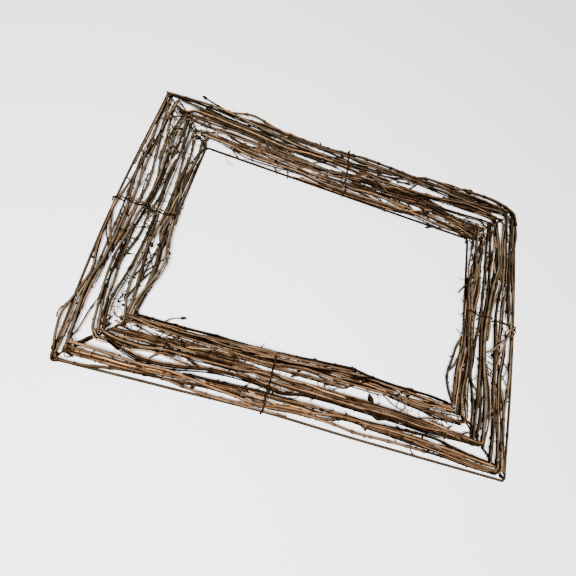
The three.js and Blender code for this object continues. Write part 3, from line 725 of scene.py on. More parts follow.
SHOOT_TONES = (0.14, 0.24, 0.32, 0.42, 0.52, 0.6, 0.7)
CROSSING_LENGTHS = (45, 150)
CROSSING_STEP = 5.0
CROSSING_POINTS = 9
CROSSING_WIDTHS = (0.66, 1.0)
CROSSING_JOINTS = (16, 40)
HOST_POINTS = 20
HOST_OVERLAP = 30


def crossing_shoots(stems, side, count, seed):
    """Thin shoots that leave one twig of the row and pass over or under the next ones to another."""
    rand = random.Random(seed)
    axis = SIDES[side]["axis"]
    hosts = [item["points"][np.argsort(item["points"][:, axis])] for item in stems
             if len(item["points"]) > HOST_POINTS]
    shoots = []
    while len(shoots) < count:
        pair = rand.sample(hosts, 2)
        firsts, lasts = ([host[end, axis] for host in pair] for end in (0, -1))
        length = rand.uniform(*CROSSING_LENGTHS)
        if min(lasts) - max(firsts) < HOST_OVERLAP:
            continue
        begin = rand.uniform(max(firsts) - 0.3 * length, min(lasts) - 0.7 * length)
        run = np.arange(begin, begin + length, CROSSING_STEP)
        run = run[(run > min(firsts)) & (run < max(lasts))]
        if len(run) < CROSSING_POINTS:
            continue
        one, other = (np.column_stack([np.interp(run, host[:, axis], host[:, k]) for k in range(3)])
                      for host in pair)
        share = np.clip((run - run[0]) / (run[-1] - run[0]) * 1.6 - 0.3, 0, 1)
        share = (share * share * (3 - 2 * share))[:, None]
        line = one * (1 - share) + other * share
        line[:, axis] = run
        thin = rand.uniform(*CROSSING_WIDTHS)
        sway = np.arange(len(run)) * rand.uniform(0.2, 0.5) + rand.uniform(0, 6)
        line = between_floor_and_top(beside(line, 0.8 * np.sin(sway), 1.8 * np.sin(0.7 * sway)), thin)
        tone = rand.choice(SHOOT_TONES)
        shoots.append(stem(line, tapered(thin, len(line)), tone, rand.uniform(*CROSSING_JOINTS),
                           rand.uniform(*SEEDS)))
    return shoots


SHEAF_JOINTS = (16, 44)
SHEAF_WIDTHS = (0.68, 1.1)
SHEAF_WAVES = (0.02, 0.05)


def sheaf(side, count, layer, lane, rand):
    """Thin shoots that run loosely together along a lane: triples of s, v and how far they spread."""
    middle = np.array(read_lane(lane))
    begin, reach = middle[0, 0], middle[-1, 0] - middle[0, 0]
    shoots = []
    for k in range(count):
        first = begin + reach * rand.choice((0, 0, rand.uniform(0, 0.4)))
        last = middle[-1, 0] - reach * rand.choice((0, 0, rand.uniform(0, 0.4)))
        run = np.linspace(first, last, max(10, round((last - first) / 6)))
        centre, spread = (np.interp(run, middle[:, 0], middle[:, column]) for column in (1, 2))
        phase = rand.uniform(0, 6)
        wave = rand.uniform(*SHEAF_WAVES)
        across = 2 * (k + rand.random()) / count - 1
        across = across + 0.38 * np.sin(wave * run + phase) + 0.1 * np.sin(4 * wave * run)
        thin = rand.uniform(*SHEAF_WIDTHS)
        level = TWIG_FLOOR + thin + (layer - 1) * LAYER_HEIGHT
        level = level + 2.0 + 2.0 * np.sin(2.3 * wave * run + 2 * phase)
        level = np.clip(level, TWIG_FLOOR + thin, HIGHEST - thin)
        line = [spot(side, s, v, height) for s, v, height in zip(run, centre + spread * across, level)]
        tone = rand.choice(SHOOT_TONES)
        shoots.append(stem(line, tapered(thin, len(line)), tone, rand.uniform(*SHEAF_JOINTS),
                           rand.uniform(*SEEDS)))
    return shoots


SHOOT_EVERY = 28.0
SHOOT_MARGIN = 8
BARE_POINTS = 10
SHOOT_LENGTHS = (0.5, 0.7, 0.9, 1.2, 1.6, 2, 2.4, 3, 5)
SHOOT_WIDTHS = (0.42, 0.9)
SHOOT_SHIFTS = (-0.04, -0.12, -0.2)
SPUR_JOINTS = 50


def side_shoots(stems, seed):
    """Short stubs that leave each twig at spaced places along it, to either side and a little up or down."""
    rand = random.Random(seed)
    shoots = []
    for item in stems:
        line = item["points"]
        if len(line) < BARE_POINTS:
            continue
        steps = np.linalg.norm(np.diff(line, axis=0), axis=1)
        run = np.concatenate([[0], np.cumsum(steps)])
        at = rand.uniform(SHOOT_MARGIN, SHOOT_EVERY)
        while at < run[-1] - SHOOT_MARGIN:
            k = int(np.searchsorted(run, at)) - 1
            base = line[k] + (line[k + 1] - line[k]) * (at - run[k]) / steps[k]
            way = (line[k + 1] - line[k]) / steps[k] * rand.choice((-1, 1))
            aside = np.cross(way, (0, 0, 1)) * rand.choice((-1, 1))
            aside /= np.linalg.norm(aside)
            rise = rand.uniform(-0.5, 0.5)
            length = rand.choice(SHOOT_LENGTHS)
            out = way * rand.uniform(0.5, 1.6) + aside + np.array([0, 0, rise])
            out /= np.linalg.norm(out)
            half = item["half_width"][k]
            tip = base + out * (half + length)
            mid = base + out * (half + 0.45 * length) - way * 0.1 * length
            for place in (mid, tip):
                place[2] = min(max(place[2], 1.0), HIGHEST)
            thick = min(SHOOT_WIDTHS[1], max(SHOOT_WIDTHS[0], 0.6 * half)) * rand.uniform(0.8, 1.15)
            tone = max(item["tone"][k] + rand.choice(SHOOT_SHIFTS), DARKEST)
            shoots.append(stem([base, mid, tip], [thick * 1.6, thick * 1.15, thick * 0.6], tone, SPUR_JOINTS,
                               rand.uniform(*SEEDS)))
            at += rand.uniform(0.6, 1.5) * SHOOT_EVERY
    return shoots


TENDRIL_STEP = 1.3
TENDRIL_POINTS = (9, 20)
TENDRIL_HEIGHTS = (4, 11)
TENDRIL_WIDTHS = (0.36, 0.58)
TENDRIL_TONES = (0.1, 0.2, 0.3, 0.4)
TENDRIL_JOINTS = 30


def tangle(side, count, lane, rand):
    """Curled tendrils along a lane of the same triples, each a loose coil that winds in on itself."""
    middle = np.array(read_lane(lane))
    tendrils = []
    for _ in range(count):
        s = rand.uniform(middle[0, 0], middle[-1, 0])
        centre, spread = (np.interp(s, middle[:, 0], middle[:, column]) for column in (1, 2))
        place = np.array([s, centre + rand.uniform(-1, 1) * spread])
        heading = rand.uniform(0, 2 * math.pi)
        turn = rand.choice((-1, 1))
        bend, tighter = rand.uniform(0.08, 0.25), rand.uniform(1.02, 1.10)
        height, climb = rand.uniform(*TENDRIL_HEIGHTS), rand.uniform(-0.3, 0.3)
        line = []
        for _ in range(rand.randint(*TENDRIL_POINTS)):
            line.append(spot(side, *place, min(max(height, 1.5), HIGHEST - 1)))
            place = place + TENDRIL_STEP * np.array([math.cos(heading), math.sin(heading)])
            heading += turn * bend
            bend = min(bend * tighter, 0.8)
            height += climb
        thin = rand.uniform(*TENDRIL_WIDTHS)
        tone = rand.choice(TENDRIL_TONES)
        tendrils.append(stem(line, tapered(thin, len(line)), tone, TENDRIL_JOINTS, rand.uniform(*SEEDS)))
    return tendrils


def knot(side, s, v, height, size, tone, rand):
    """A gnarled lump where shoots were cut back: a few short fat stubs grown into one another."""
    middle = spot(side, s, v, height)
    stubs = []
    for _ in range(4):
        way = np.array([rand.uniform(-1, 1), rand.uniform(-1, 1), rand.uniform(-0.4, 0.6)])
        way *= size / np.linalg.norm(way)
        line = [middle - 0.5 * way, middle + 0.1 * way, middle + way]
        widths = [share * size for share in (0.5, 0.55, 0.24)]
        stubs.append(stem(line, widths, tone, SPUR_JOINTS, rand.uniform(*SEEDS)))
    return stubs


LOOSE_STEP = 2.5
LOOSE_JOINTS = 18
BUDDED_JOINTS = 22
BUD_FULLNESS = 0.3
BUD_DARKER = 0.3


def loose_shoot(side, lane, half_width, height, tone, bud=0):
    """A short shoot that lies loosely over the others: a hook, thorn or curl, some with a pointed bud."""
    pairs = read_lane(lane)
    line = smooth_path([spot(side, s, v, height) for s, v in pairs], LOOSE_STEP)
    if not bud:
        width = half_width * np.linspace(1.2, 0.75, len(line))
        return [stem(line, width, tone, LOOSE_JOINTS, abs(pairs[0][0]))]
    way = (line[-1] - line[-2]) / np.linalg.norm(line[-1] - line[-2])
    tip = [line[-1] + share * bud * way for share in (-0.1, 0.2, 0.45, 0.75, 1.0)]
    bud_width = np.array([0.5, 0.95, 1.0, 0.55, 0.12]) * BUD_FULLNESS * bud
    return [stem(line, np.linspace(1.25, 0.8, len(line)) * half_width, tone, BUDDED_JOINTS, 3.0),
            stem(tip, bud_width, tone - BUD_DARKER, SPUR_JOINTS, 5.0)]


CROSSINGS = {"bottom": 3, "top": 9, "left": 5, "right": 8}
MIDDLE_TONE = 0.38
DARK_CONTRAST = {"bottom": 1.25, "top": 0.72, "left": 0.66, "right": 0.68}
LIGHT_CONTRAST = {"bottom": 1.05, "top": 0.84, "left": 0.7, "right": 0.78}
# A side's two values of lightness hold at these places along it, with an even change between them.
LIGHTNESS_PLACES = (-60, 60)
WARMTH_SPREAD = 0.7


def add_row(row, lanes, extras, seed):
    """A whole row, as one piece for each side: the twigs of its lanes, and all that grows among them.

    A twig is given by its diameter, layer, tone and lane. The rest is given as the functions above take
    it. Contrast, lightness and warmth then suit the tones to their side.
    """
    rand = random.Random(seed + 100)
    stems = lay_row(lanes, extras["bent within"], extras["fullness"], seed)
    for number, side in enumerate(SIDES):
        own_seed = seed + 7 * number
        own = {kind: extras[kind].get(side, []) for kind in ("sheaves", "tangles", "knots", "loose", "buds")}
        shoots = bundle(stems[side], own_seed)
        shoots += crossing_shoots(stems[side], side, CROSSINGS[side], own_seed + 1)
        for item in own["sheaves"]:
            shoots += sheaf(side, *item, rand)
        shoots += side_shoots(shoots, own_seed + 2)
        for item in own["tangles"]:
            shoots += tangle(side, *item, rand)
        for item in own["knots"]:
            shoots += knot(side, *item, rand)
        for item in own["loose"] + own["buds"]:
            shoots += loose_shoot(side, *item)
        for item in shoots:
            above = item["tone"] - MIDDLE_TONE
            contrast = np.where(above > 0, LIGHT_CONTRAST[side], DARK_CONTRAST[side])
            places = item["points"][:, SIDES[side]["axis"]]
            lightness = np.interp(places, LIGHTNESS_PLACES, extras["lightness"][side])
            item["tone"] = MIDDLE_TONE + contrast * above + lightness
            item["warmth"] = extras["warmth"][side] + WARMTH_SPREAD * (item["seed"] * 7.3 % 1 - 0.5)
        piece = grow_stems(f"{side}_{row}_twigs", shoots, twig_bark, Step=0.0022, Wander=0.0007, Sides=7,
                           Relief=0.25, **{"Joint Swelling": 0.45})
        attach(piece, "root")
        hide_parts(f"{side}_{row}_twigs")
    return stems


twig_bark = stem_finish("twig bark", 0.0008, Patchiness=0.5, Streaks=0.48)
outer_stems = add_row("outer", {
    "bottom": [
        (2.6, 1, "dark", "-226,1 -205,1 -185,4 -165,7 -140,8.5 -118,9.5 -95,12 -78,14"),
        (2.6, 2, "brown", "-222,8.5 -175,8.5 -125,9 -92,5.5 -60,5.5 -30,8 0,10.5 38,10 66,7.5 105,8.3 "
         "150,8 180,6 220,4.5"),
        (3.2, 3, "brown", "-214,18.5 -190,18 -150,16.5 -125,18 -95,14.5 -65,11.5 -38,9 -10,13 20,15.5 "
         "50,19.5 72,20"),
        (3.6, 2, "grey", "-214,14 -170,12.5 -135,11 -100,14 -70,15.5 -45,13 -22,10.5 0,13 30,11.5 "
         "55,17"),
        (3, 2, "black", "-112,18 -75,19.5 -45,21.5 0,21.5 60,20.5 95,22 130,23.5 150,23 175,18.5 "
         "214,14"),
        (3.2, 2, "grey", "-66,16 -45,19 -10,20 30,21 66,20.5"),
        (3.3, 3, "tan", "62,20 80,18.5 105,18.5 135,17 165,15.5 195,12.5 216,11"),
        (3.4, 2, "grey", "66,17 90,16 120,14 150,12.5 175,10 205,6.5 222,6"),
        (2, 3, "dark", "78,18 76.5,14.5 74.5,12"),
        (1.7, 2, "brown", "-128,9.5 -108,7.5 -88,4.5 -60,4 -30,4.5 -5,5.5"),
        (1.5, 3, "tan", "112,15.5 130,12.5 160,9.5 190,7 215,6.5"),
    ],
    "top": [
        (4.2, 3, "pale", "-231,-2 -185,-3.5 -155,-1.5 -130,1 -100,5.5 -75,9 -48,11.5 -20,11"),
        (3.4, 3, "bright", "-165,-4.5 -150,-5.5 -135,-10 -126,-11.5 -115,-9.5 -98,-4.5 -78,0"),
        (4.4, 2, "tan", "-150,-1 -115,-2 -75,0 -30,-1 20,-4 60,-3 110,-2 170,-2.5 224,1"),
        (3.4, 1, "black", "-212,1 -190,5 -160,9.5 -130,12.5 -95,14 -60,15 -36,12"),
        (3.6, 1, "dark", "-182,2 -152,6 -105,8.5 -70,4 -30,4 5,8 40,7.5 66,4"),
        (4.4, 2, "tan", "-16,2 30,2 60,1 100,3.5 140,6 180,8.5 218,5"),
        (3.6, 3, "tan", "88,-2 105,-6.5 130,-6.5 144,-6 158,-11 166,-12.5"),
        (4, 3, "brown", "160,-9 185,-9.5 206,-7.5 229,0"),
        (3.6, 2, "dark", "128,0 160,4 178,5 200,2 222,4"),
        (3, 2, "grey", "40,13 62,9 84,3 100,0"),
        (1.8, 3, "dark", "-150,-1 -158,-3"),
        (2, 3, "dark", "-140,1 -110,3 -75,8 -50,12 -20,14 10,14"),
        (1.8, 2, "brown", "-90,2 -60,9 -30,13 0,12 30,15 60,15"),
        (2.2, 3, "dark", "128,12 150,13 170,10 188,11 204,17"),
        (2, 2, "tan", "140,17 165,14 185,15 200,21"),
    ],
    "left": [
        (3.4, 2, "grey", "-157,-1 -140,-5.5 -121,-8 -103,-4 -85,0 -70,2 -50,-2.5 -15,-4 10,-3 36,1 70,4"),
        (3.2, 1, "brown", "-158,1.5 -120,0 -90,1 -66,1.5 -40,-3 0,-3.5"),
        (3, 1, "dark", "-158,2 -120,3.5 -80,5 -40,4.5 15,4 60,2.5 95,4.5 130,1.5 160,4"),
        (3.6, 3, "grey", "-154,8 -130,6.5 -100,3.5 -80,4 -58,8 -30,9.5 0,9 20,6.5 42,3.5 75,4.5 98,6"),
        (3.2, 2, "brown", "-150,8 -115,7 -85,7.5 -56,9 -30,13.5 0,15.5 16,15"),
        (3.8, 2, "tan", "-54,10 -10,11.5 30,10.5 60,9 100,9.5 130,10 152,13"),
        (3.8, 3, "tan", "58,-2 80,-2 120,-0.5 163,1"),
        (3.6, 2, "brown", "60,17 85,14 105,10.5 130,7.5 158,6"),
        (2.2, 2, "grey", "-144,8 -135,11.5 -115,14.5 -98,18"),
        (1.7, 2, "brown", "30,11 48,15.5 60,17 75,16"),
        (1.7, 2, "dark", "70,17 110,12 140,11 155,12"),
    ],
    "right": [
        (3.8, 2, "brown", "-160,3 -125,3 -95,2 -60,-2 -20,-2.5 10,-3.5 50,-2 80,0 110,-1.5 130,-4 "
         "152,-2 164,0"),
        (4, 3, "grey", "-157,7 -120,7.5 -90,10 -60,11 -40,8 -20,4.5 0,-1"),
        (4.2, 1, "brown", "-154,9 -120,9 -90,13.5 -45,14.5 0,11 30,9.5 60,3 95,1 120,-2"),
        (3.6, 2, "black", "-150,16 -115,14 -80,17 -40,17 8,18 40,15 70,9 96,3"),
        (3.8, 2, "dark", "4,1 40,2.5 75,4 110,4 160,4.5"),
        (4.4, 2, "pale", "50,12 80,11 115,12 152,9"),
        (3.2, 3, "brown", "-4,-1 -14,7 -22,14 -32,24 -34,30"),
        (2.4, 2, "dark", "-158,0 -130,2 -105,3.5 -85,2 -60,-1"),
        (2.2, 2, "brown", "-155,3.5 -120,4.5 -95,4.5 -75,7 -50,9 -25,4.5 0,4.5"),
        (2, 1, "brown", "80,8.5 120,10.5 152,9.5"),
        (2.6, 2, "pale", "62,16 90,14.5 120,15 149,13"),
    ],
}, {
    "bent within": 5.0,
    "fullness": {"bottom": 1.08, "top": 0.88, "left": 0.82, "right": 0.92},
    "lightness": {"bottom": (0.155, 0.135), "top": (0.05, 0.02), "left": (0.165, 0.11),
                  "right": (0.195, 0.045)},
    "warmth": {"bottom": 0.95, "top": 0.45, "left": 0.4, "right": 0.35},
    "sheaves": {
        "bottom": [(3, 2, "-222,13,5 -150,13,5 -110,13,4 -60,13,5 -20,15,5"),
                   (5, 2, "-40,16,5 20,16,5 70,18,3"),
                   (4, 2, "56,18,2 100,18,3 150,14,3 215,9,4")],
        "top": [(4, 2, "-215,5,3 -160,7,4 -110,9,5"), (4, 2, "-110,7,5 -40,9,6 40,8,7 76,8,8 92,9,7"),
                (4, 2, "128,6,4 160,8,7 205,10,6")],
        "left": [(3, 2, "-155,3,4 -100,2,3 -60,6,3"), (2, 2, "-60,10,3 0,12,5 50,12,5"),
                 (2, 2, "60,4,5 110,5,6 155,6,6")],
        "right": [(4, 2, "-155,4,4 -110,6,5 -70,8,4"), (2, 1, "-152,15,2 -100,14,2 -40,16,2 10,14,3"),
                  (3, 2, "0,8,7 50,6,6 90,4,3"), (3, 2, "60,8,6 110,8,7 155,8,7"),
                  (4, 2, "112,1,3 162,2,4"), (4, 3, "118,7,3 162,8,5")],
    },
    "tangles": {
        "bottom": [(7, "-224,14,5 -206,16,5"), (6, "-35,22,3 -5,22,4"), (5, "120,12,2 165,10,2")],
        "top": [(5, "-60,8,5 60,9,5")],
        "left": [(8, "125,16,6 150,16,6")],
        "right": [(4, "-10,0,3 10,0,3")],
    },
    "knots": {
        "bottom": [(-88, 4, 6, 1.6, 0.5), (-99, 8, 7, 2.4, 0.2), (-128, 14, 9, 2.2, 0.5),
                   (-223, 1, 6, 3.0, 0.4),
                   (-213, 13, 8, 3.0, 0.3), (-218, 17, 8, 2.6, 0.25), (-206, 15, 8, 2.2, 0.3),
                   (66, 18, 11, 2.2, 0.3), (74, 16, 12, 2.4, 0.6)],
        "top": [(24, -4, 9, 2.0, 0.2), (165, -12, 11, 1.8, 0.2), (-78, 4, 8, 2.0, 0.3)],
        "left": [(-62, 8, 11, 2.6, 0.45), (76, 10, 9, 2.0, 0.3), (150, 7, 8, 2.6, 0.3)],
        "right": [(-41, 0, 7, 2.0, 0.4), (-108, 10, 9, 2.4, 0.45), (152, 9, 9, 3.0, 0.35),
                  (158, 3, 9, 2.4, 0.3)],
    },
    "loose": {
        "bottom": [("-226,6 -229,2 -227,-1 -222,-1 -219,2", 1.0, 5, 0.3),
                   ("-222,14 -217,9 -211,7", 1.0, 9, 0.25),
                   ("-212,20 -207,25 -201,31", 1.2, 7, 0.2), ("124,17 123,13 126,11", 0.7, 9, 0.15),
                   ("134,15 133,11", 0.7, 9, 0.15), ("142,14 144,10", 0.6, 9, 0.2),
                   ("150,12 149,8", 0.7, 9, 0.15),
                   ("158,11 160,7", 0.6, 9, 0.2), ("136,24 136,20 134,17", 1.0, 5, 0.15)],
        "top": [("128,14 150,9 172,8 192,14 204,20", 0.8, 11, 0.5),
                ("66,14 78,10 92,6 104,3", 0.8, 12, 0.55),
                ("84,17 88,13 93,7", 1.0, 11, 0.3), ("-215,3 -208,10 -199,17", 0.9, 11, 0.3),
                ("-219,8 -212,14 -206,24", 0.8, 8, 0.5), ("196,-10 207,-5 216,3", 0.8, 12, 0.2)],
        "left": [("128,10 136,17 141,25", 0.9, 12, 0.35), ("150,11 143,17 137,22", 0.8, 13, 0.55),
                 ("152,18 146,24 140,30", 1.1, 10, 0.2), ("-127,-10 -121,-11 -115,-9", 0.7, 8, 0.15)],
        "right": [("-8,-5 -6,2 -8,8", 1.1, 12, 0.3), ("8,-5 7,2 9,9", 1.0, 12, 0.25),
                  ("-2,-6 3,-1 9,-6", 0.9, 12, 0.35),
                  ("-52,21 -50,27", 0.7, 9, 0.2), ("-46,20 -43,26", 0.7, 9, 0.2),
                  ("-39,20 -37,26", 0.7, 9, 0.15)],
    },
    "buds": {
        "top": [("-158,-4 -172,-8 -185,-12", 1.05, 11, 0.26, 6.5)],
    },
}, 11)


# The middle row is of the same bare vine twigs. It lies between the two loops, inside the outer row,
# and crosses over it here and there. The bindings hold it down.
middle_stems = add_row("middle", {
    "bottom": [
        (4.4, 2, "black", "-192,33 -178,27 -158,21.5 -140,20.5 -120,22.5 -103,26 -85,29 -55,30 -30,28.5 "
         "-14,27 8,31 60,31 110,30 150,28 202,28.5"),
        (2.8, 2, "dark", "-186,31 -170,28.5 -155,31 -140,32.5 -120,29.5 -100,28"),
        (4, 3, "grey", "-198,37 -185,34 -160,32.5 -135,35.5 -95,36 -60,37 -40,40 -18,38"),
        (4.2, 2, "black", "-192,39.5 -150,40 -110,41 -70,40 -30,40 10,39.5 50,39 90,38.5 130,36 165,33"),
        (3, 1, "dark", "-188,42 -155,42 -110,43.5 -75,44.5 -40,42"),
        (4.2, 3, "grey", "-50,37 -20,34.5 20,34 60,33.5 100,34 135,31 165,32.5 203,30.5"),
        (3.8, 3, "dark", "-6,38 25,36.5 50,36 85,38 120,36.5 150,34.5 176,32.5"),
        (2.2, 1, "brown", "-188,50 -175,45.5 -160,43 -146,42"),
        (4.4, 1, "dark", "78,31 86,28 98,31"),
        (1.6, 3, "black", "-150,46 -130,43.5 -110,43.5 -85,45.5 -60,47 -30,46.5"),
        (1.6, 2, "black", "-165,50 -140,44 -118,44.5 -95,48 -70,49.5"),
        (1.5, 3, "dark", "-10,44 5,48.5 20,48 38,49 52,50.5"),
        (1.6, 2, "dark", "100,36 125,38 142,42 165,45 190,49"),
    ],
    "top": [
        (4.2, 3, "tan", "-200,17 -195,11.5 -175,11 -145,13.5 -115,16 -75,20 -50,17 -10,16 25,18 "
         "65,18.5 105,18 135,15 160,11 190,14 206,17"),
        (3.6, 1, "grey", "-197,17 -172,16 -140,17 -105,20.5 -75,26 -50,30 -15,31 20,33"),
        (3.2, 2, "grey", "-193,25 -160,27 -130,27 -100,28.5 -60,31.5 -20,31.5 20,30"),
        (3.4, 1, "grey", "-152,26 -140,31 -118,35 -90,33 -60,36 -30,34 0,33"),
        (3.6, 2, "dark", "-5,27 30,27.5 70,25 105,28 135,29.5 165,28.5 198,27"),
        (4, 3, "grey", "12,36 40,35 80,33 112,30 132,28"),
        (4.2, 2, "dark", "50,22 85,20.5 125,18.5 150,16.5 180,16.5 204,18"),
        (2.4, 2, "dark", "-84,8 -80,14 -74,21 -68,29 -64,34"),
        (3.4, 1, "brown", "34,26 60,29 85,24.5 108,24 130,27"),
        (3.2, 1, "black", "36,33 66,31 92,33 125,36 150,40"),
    ],
    "left": [
        (4.4, 3, "brown", "-136,30 -128,25 -105,21.5 -75,18 -45,18 -15,21.5 10,24 40,27.5 80,26 110,25 "
         "142,29"),
        (3.4, 2, "brown", "-131,30 -110,25 -75,20.5 -45,20 -28,16.5 0,16.5 40,18.5 66,17"),
        (2.8, 1, "pale", "-130,32 -95,26.5 -50,24 -10,24 10,28 34,31 60,31 100,33 132,34"),
        (4.4, 2, "deep", "-126,33 -98,30.5 -60,35.5 -20,38.5 30,39 70,39 110,39.5 130,38"),
        (3.4, 1, "dark", "-66,20.5 -45,26 -20,31 5,32 30,36 70,36.5"),
        (3.4, 2, "grey", "44,28 62,23.5 80,21 120,22 146,27"),
        (3.2, 1, "tan", "74,19 100,18.5 125,15 154,13"),
        (2.4, 2, "brown", "-27,15 -27,22 -28,30"),
        (2.2, 2, "brown", "50,38 52,32 54,25.5"),
    ],
    "right": [
        (4.6, 2, "dark", "-139,27 -110,22 -80,23 -50,28 -20,30 5,27.5 50,18.5 80,15.5 110,18 140,24"),
        (4, 3, "brown", "-134,26 -90,25.5 -60,29 -20,31 15,28 50,24 80,18.5 105,21 144,26"),
        (4.4, 1, "black", "-134,33 -100,29.5 -60,32 -20,35 10,33 40,30 90,29.5 134,31"),
        (4, 2, "dark", "-132,36 -95,35 -60,35 -20,35 10,35"),
        (4, 1, "dark", "-130,39 -95,39 -65,44 -40,44.5 -5,39 30,36.5 75,35.5 130,35"),
        (2.4, 2, "brown", "-134,24 -110,20.5 -85,21 -60,24"),
        (3.4, 1, "brown", "44,27 70,23.5 100,22.5 128,24 142,26"),
    ],
}, {
    "bent within": 7.0,
    "fullness": {"bottom": 1.0, "top": 0.96, "left": 0.84, "right": 0.85},
    "lightness": {"bottom": (0.245, 0.22), "top": (0.22, 0.03), "left": (0.105, 0.12),
                  "right": (0.15, 0.135)},
    "warmth": {"bottom": 0.8, "top": 0.5, "left": 0.3, "right": 0.3},
    "sheaves": {
        "bottom": [(4, 2, "-190,38,4 -140,39,4 -80,40,4 -20,38,5"),
                   (5, 1, "-152,44,1.5 -120,45.5,2.5 -90,46,2.5 -60,44,2"),
                   (5, 2, "-20,36,4 60,36,4 120,35,3 190,32,3")],
        "top": [(5, 2, "-203,24,7 -140,26,6 -80,29,7"),
                (6, 2, "-100,31,6 -60,33,5 -15,34,5 10,28,9 60,27,8"),
                (4, 2, "-90,20,3 -20,20,3 10,21,4"),
                (10, 2, "10,27,9 50,27,8 85,26,7 112,19,3"), (4, 2, "104,17,2.5 150,17,2.5 200,17,3"),
                (4, 1, "100,31,3 150,37,2 190,38,3")],
        "left": [(2, 2, "-130,28,3 -60,24,4 0,24,6"), (4, 2, "0,28,8 60,32,6 100,32,8 142,29,8"),
                 (3, 3, "80,28,9 146,27,7")],
        "right": [(1, 2, "-134,30,7 -80,30,7 -20,31,5"), (6, 2, "-20,28,6 40,26,6 90,26,7 140,26,6"),
                  (2, 1, "-60,43,2 -20,40,2 20,36,2"), (3, 3, "90,36,4 134,37,6")],
    },
    "tangles": {
        "bottom": [(30, "-150,46,2.5 -100,46,3 -60,46,2"), (10, "-20,45,3 55,46,3"),
                   (16, "120,38,3 180,42,4"),
                   (5, "-45,28,3 -22,26,3")],
        "top": [(8, "-180,22,5 -150,24,5"), (8, "-110,24,6 -60,28,6"), (6, "0,28,6 60,30,6")],
        "left": [(9, "-106,38,4 -80,41,5"), (10, "0,33,4 50,32,4"), (10, "110,28,8 148,26,6"),
                 (8, "-20,30,4 0,32,3")],
        "right": [(8, "-60,23,3 -35,22,2"), (5, "-80,38,3 -60,38,3"), (5, "10,38,4 40,34,4")],
    },
    "knots": {
        "bottom": [(-36, 27, 8, 3.0, 0.2), (-28, 24, 9, 2.6, 0.2), (-106, 31, 8, 2.4, 0.45),
                   (-141, 30, 6, 2.6, 0.3),
                   (84, 29, 6, 3.2, 0.2), (92, 30, 6, 2.6, 0.2), (160, 29, 8, 2.6, 0.45),
                   (-192, 44, 6, 2.8, 0.25)],
        "top": [(-66, 27, 8, 2.4, 0.3), (-170, 27, 7, 2.4, 0.25)],
        "left": [(-68, 41, 8, 2.8, 0.25), (-96, 37, 8, 2.0, 0.3), (-98, 42, 8, 1.8, 0.3),
                 (-28, 46, 10, 3.0, 0.3), (-26, 53, 10, 2.6, 0.3), (92, 35, 9, 2.6, 0.4)],
        "right": [(-90, 36, 8, 1.8, 0.15), (-36, 20, 8, 2.4, 0.2)],
    },
    "loose": {
        "bottom": [("-197,43 -195,47 -193,52 -196,53", 1.2, 6, 0.2),
                   ("-196,61 -192,57 -186,53 -180,52", 0.6, 5, 0.7),
                   ("-186,44 -181,48 -176,52", 1.3, 7, 0.25),
                   ("-112,32 -100,30 -85,28.5 -70,29", 0.9, 9, 0.4),
                   ("-134,48 -131,44 -126,42", 0.8, 8, 0.15), ("-122,49 -118,45", 0.7, 8, 0.15),
                   ("-124,33 -134,32.5 -140,30 -143,27 -146,24", 1.5, 8, 0.4),
                   ("71,38 77,40 84,38", 1.5, 8, 0.2),
                   ("78,31 85,27.5 92,28 99,31", 1.8, 8, 0.15), ("24,50 26,44 29,41", 0.7, 8, 0.3),
                   ("-8,44 -5,49 -1,53", 1.3, 7, 0.1), ("-60,42 -57,47 -56,52", 1.0, 9, 0.3),
                   ("160,26 163,33 165,40", 1.0, 9, 0.3), ("176,33 186,38 196,30", 0.8, 6, 0.3)],
        "top": [("-204,35 -196,27 -186,22 -174,19", 1.0, 11, 0.4),
                ("-206,25 -196,23 -180,27 -165,28", 0.9, 9, 0.15),
                ("-190,40 -178,37 -165,33 -151,28", 1.0, 10, 0.45),
                ("-196,16 -190,27 -183,38", 1.1, 12, 0.25),
                ("-201,30 -198,22 -192,17", 0.8, 10, 0.55), ("-176,20 -168,26 -162,30", 0.8, 9, 0.3),
                ("-112,20 -108,28 -104,36", 0.8, 11, 0.3), ("-104,18 -98,26 -90,34", 0.8, 11, 0.35),
                ("108,31 130,36 152,38 172,46", 1.0, 11, 0.35), ("76,26 82,29 90,27", 1.2, 10, 0.2),
                ("180,27 186,32 194,36", 1.0, 8, 0.2)],
        "left": [("88,36 95,30 104,26", 0.8, 13, 0.5), ("120,20 122,28 126,36", 1.1, 11, 0.25),
                 ("-50,20 -46,26 -44,33", 0.9, 10, 0.3)],
        "right": [("-60,20 -56,27", 0.8, 9, 0.2), ("-80,36 -74,42 -64,46", 1.0, 9, 0.3)],
    },
    "buds": {
        "bottom": [("79,38 78,40", 1.5, 8, 0.4, 10.5)],
    },
}, 23)


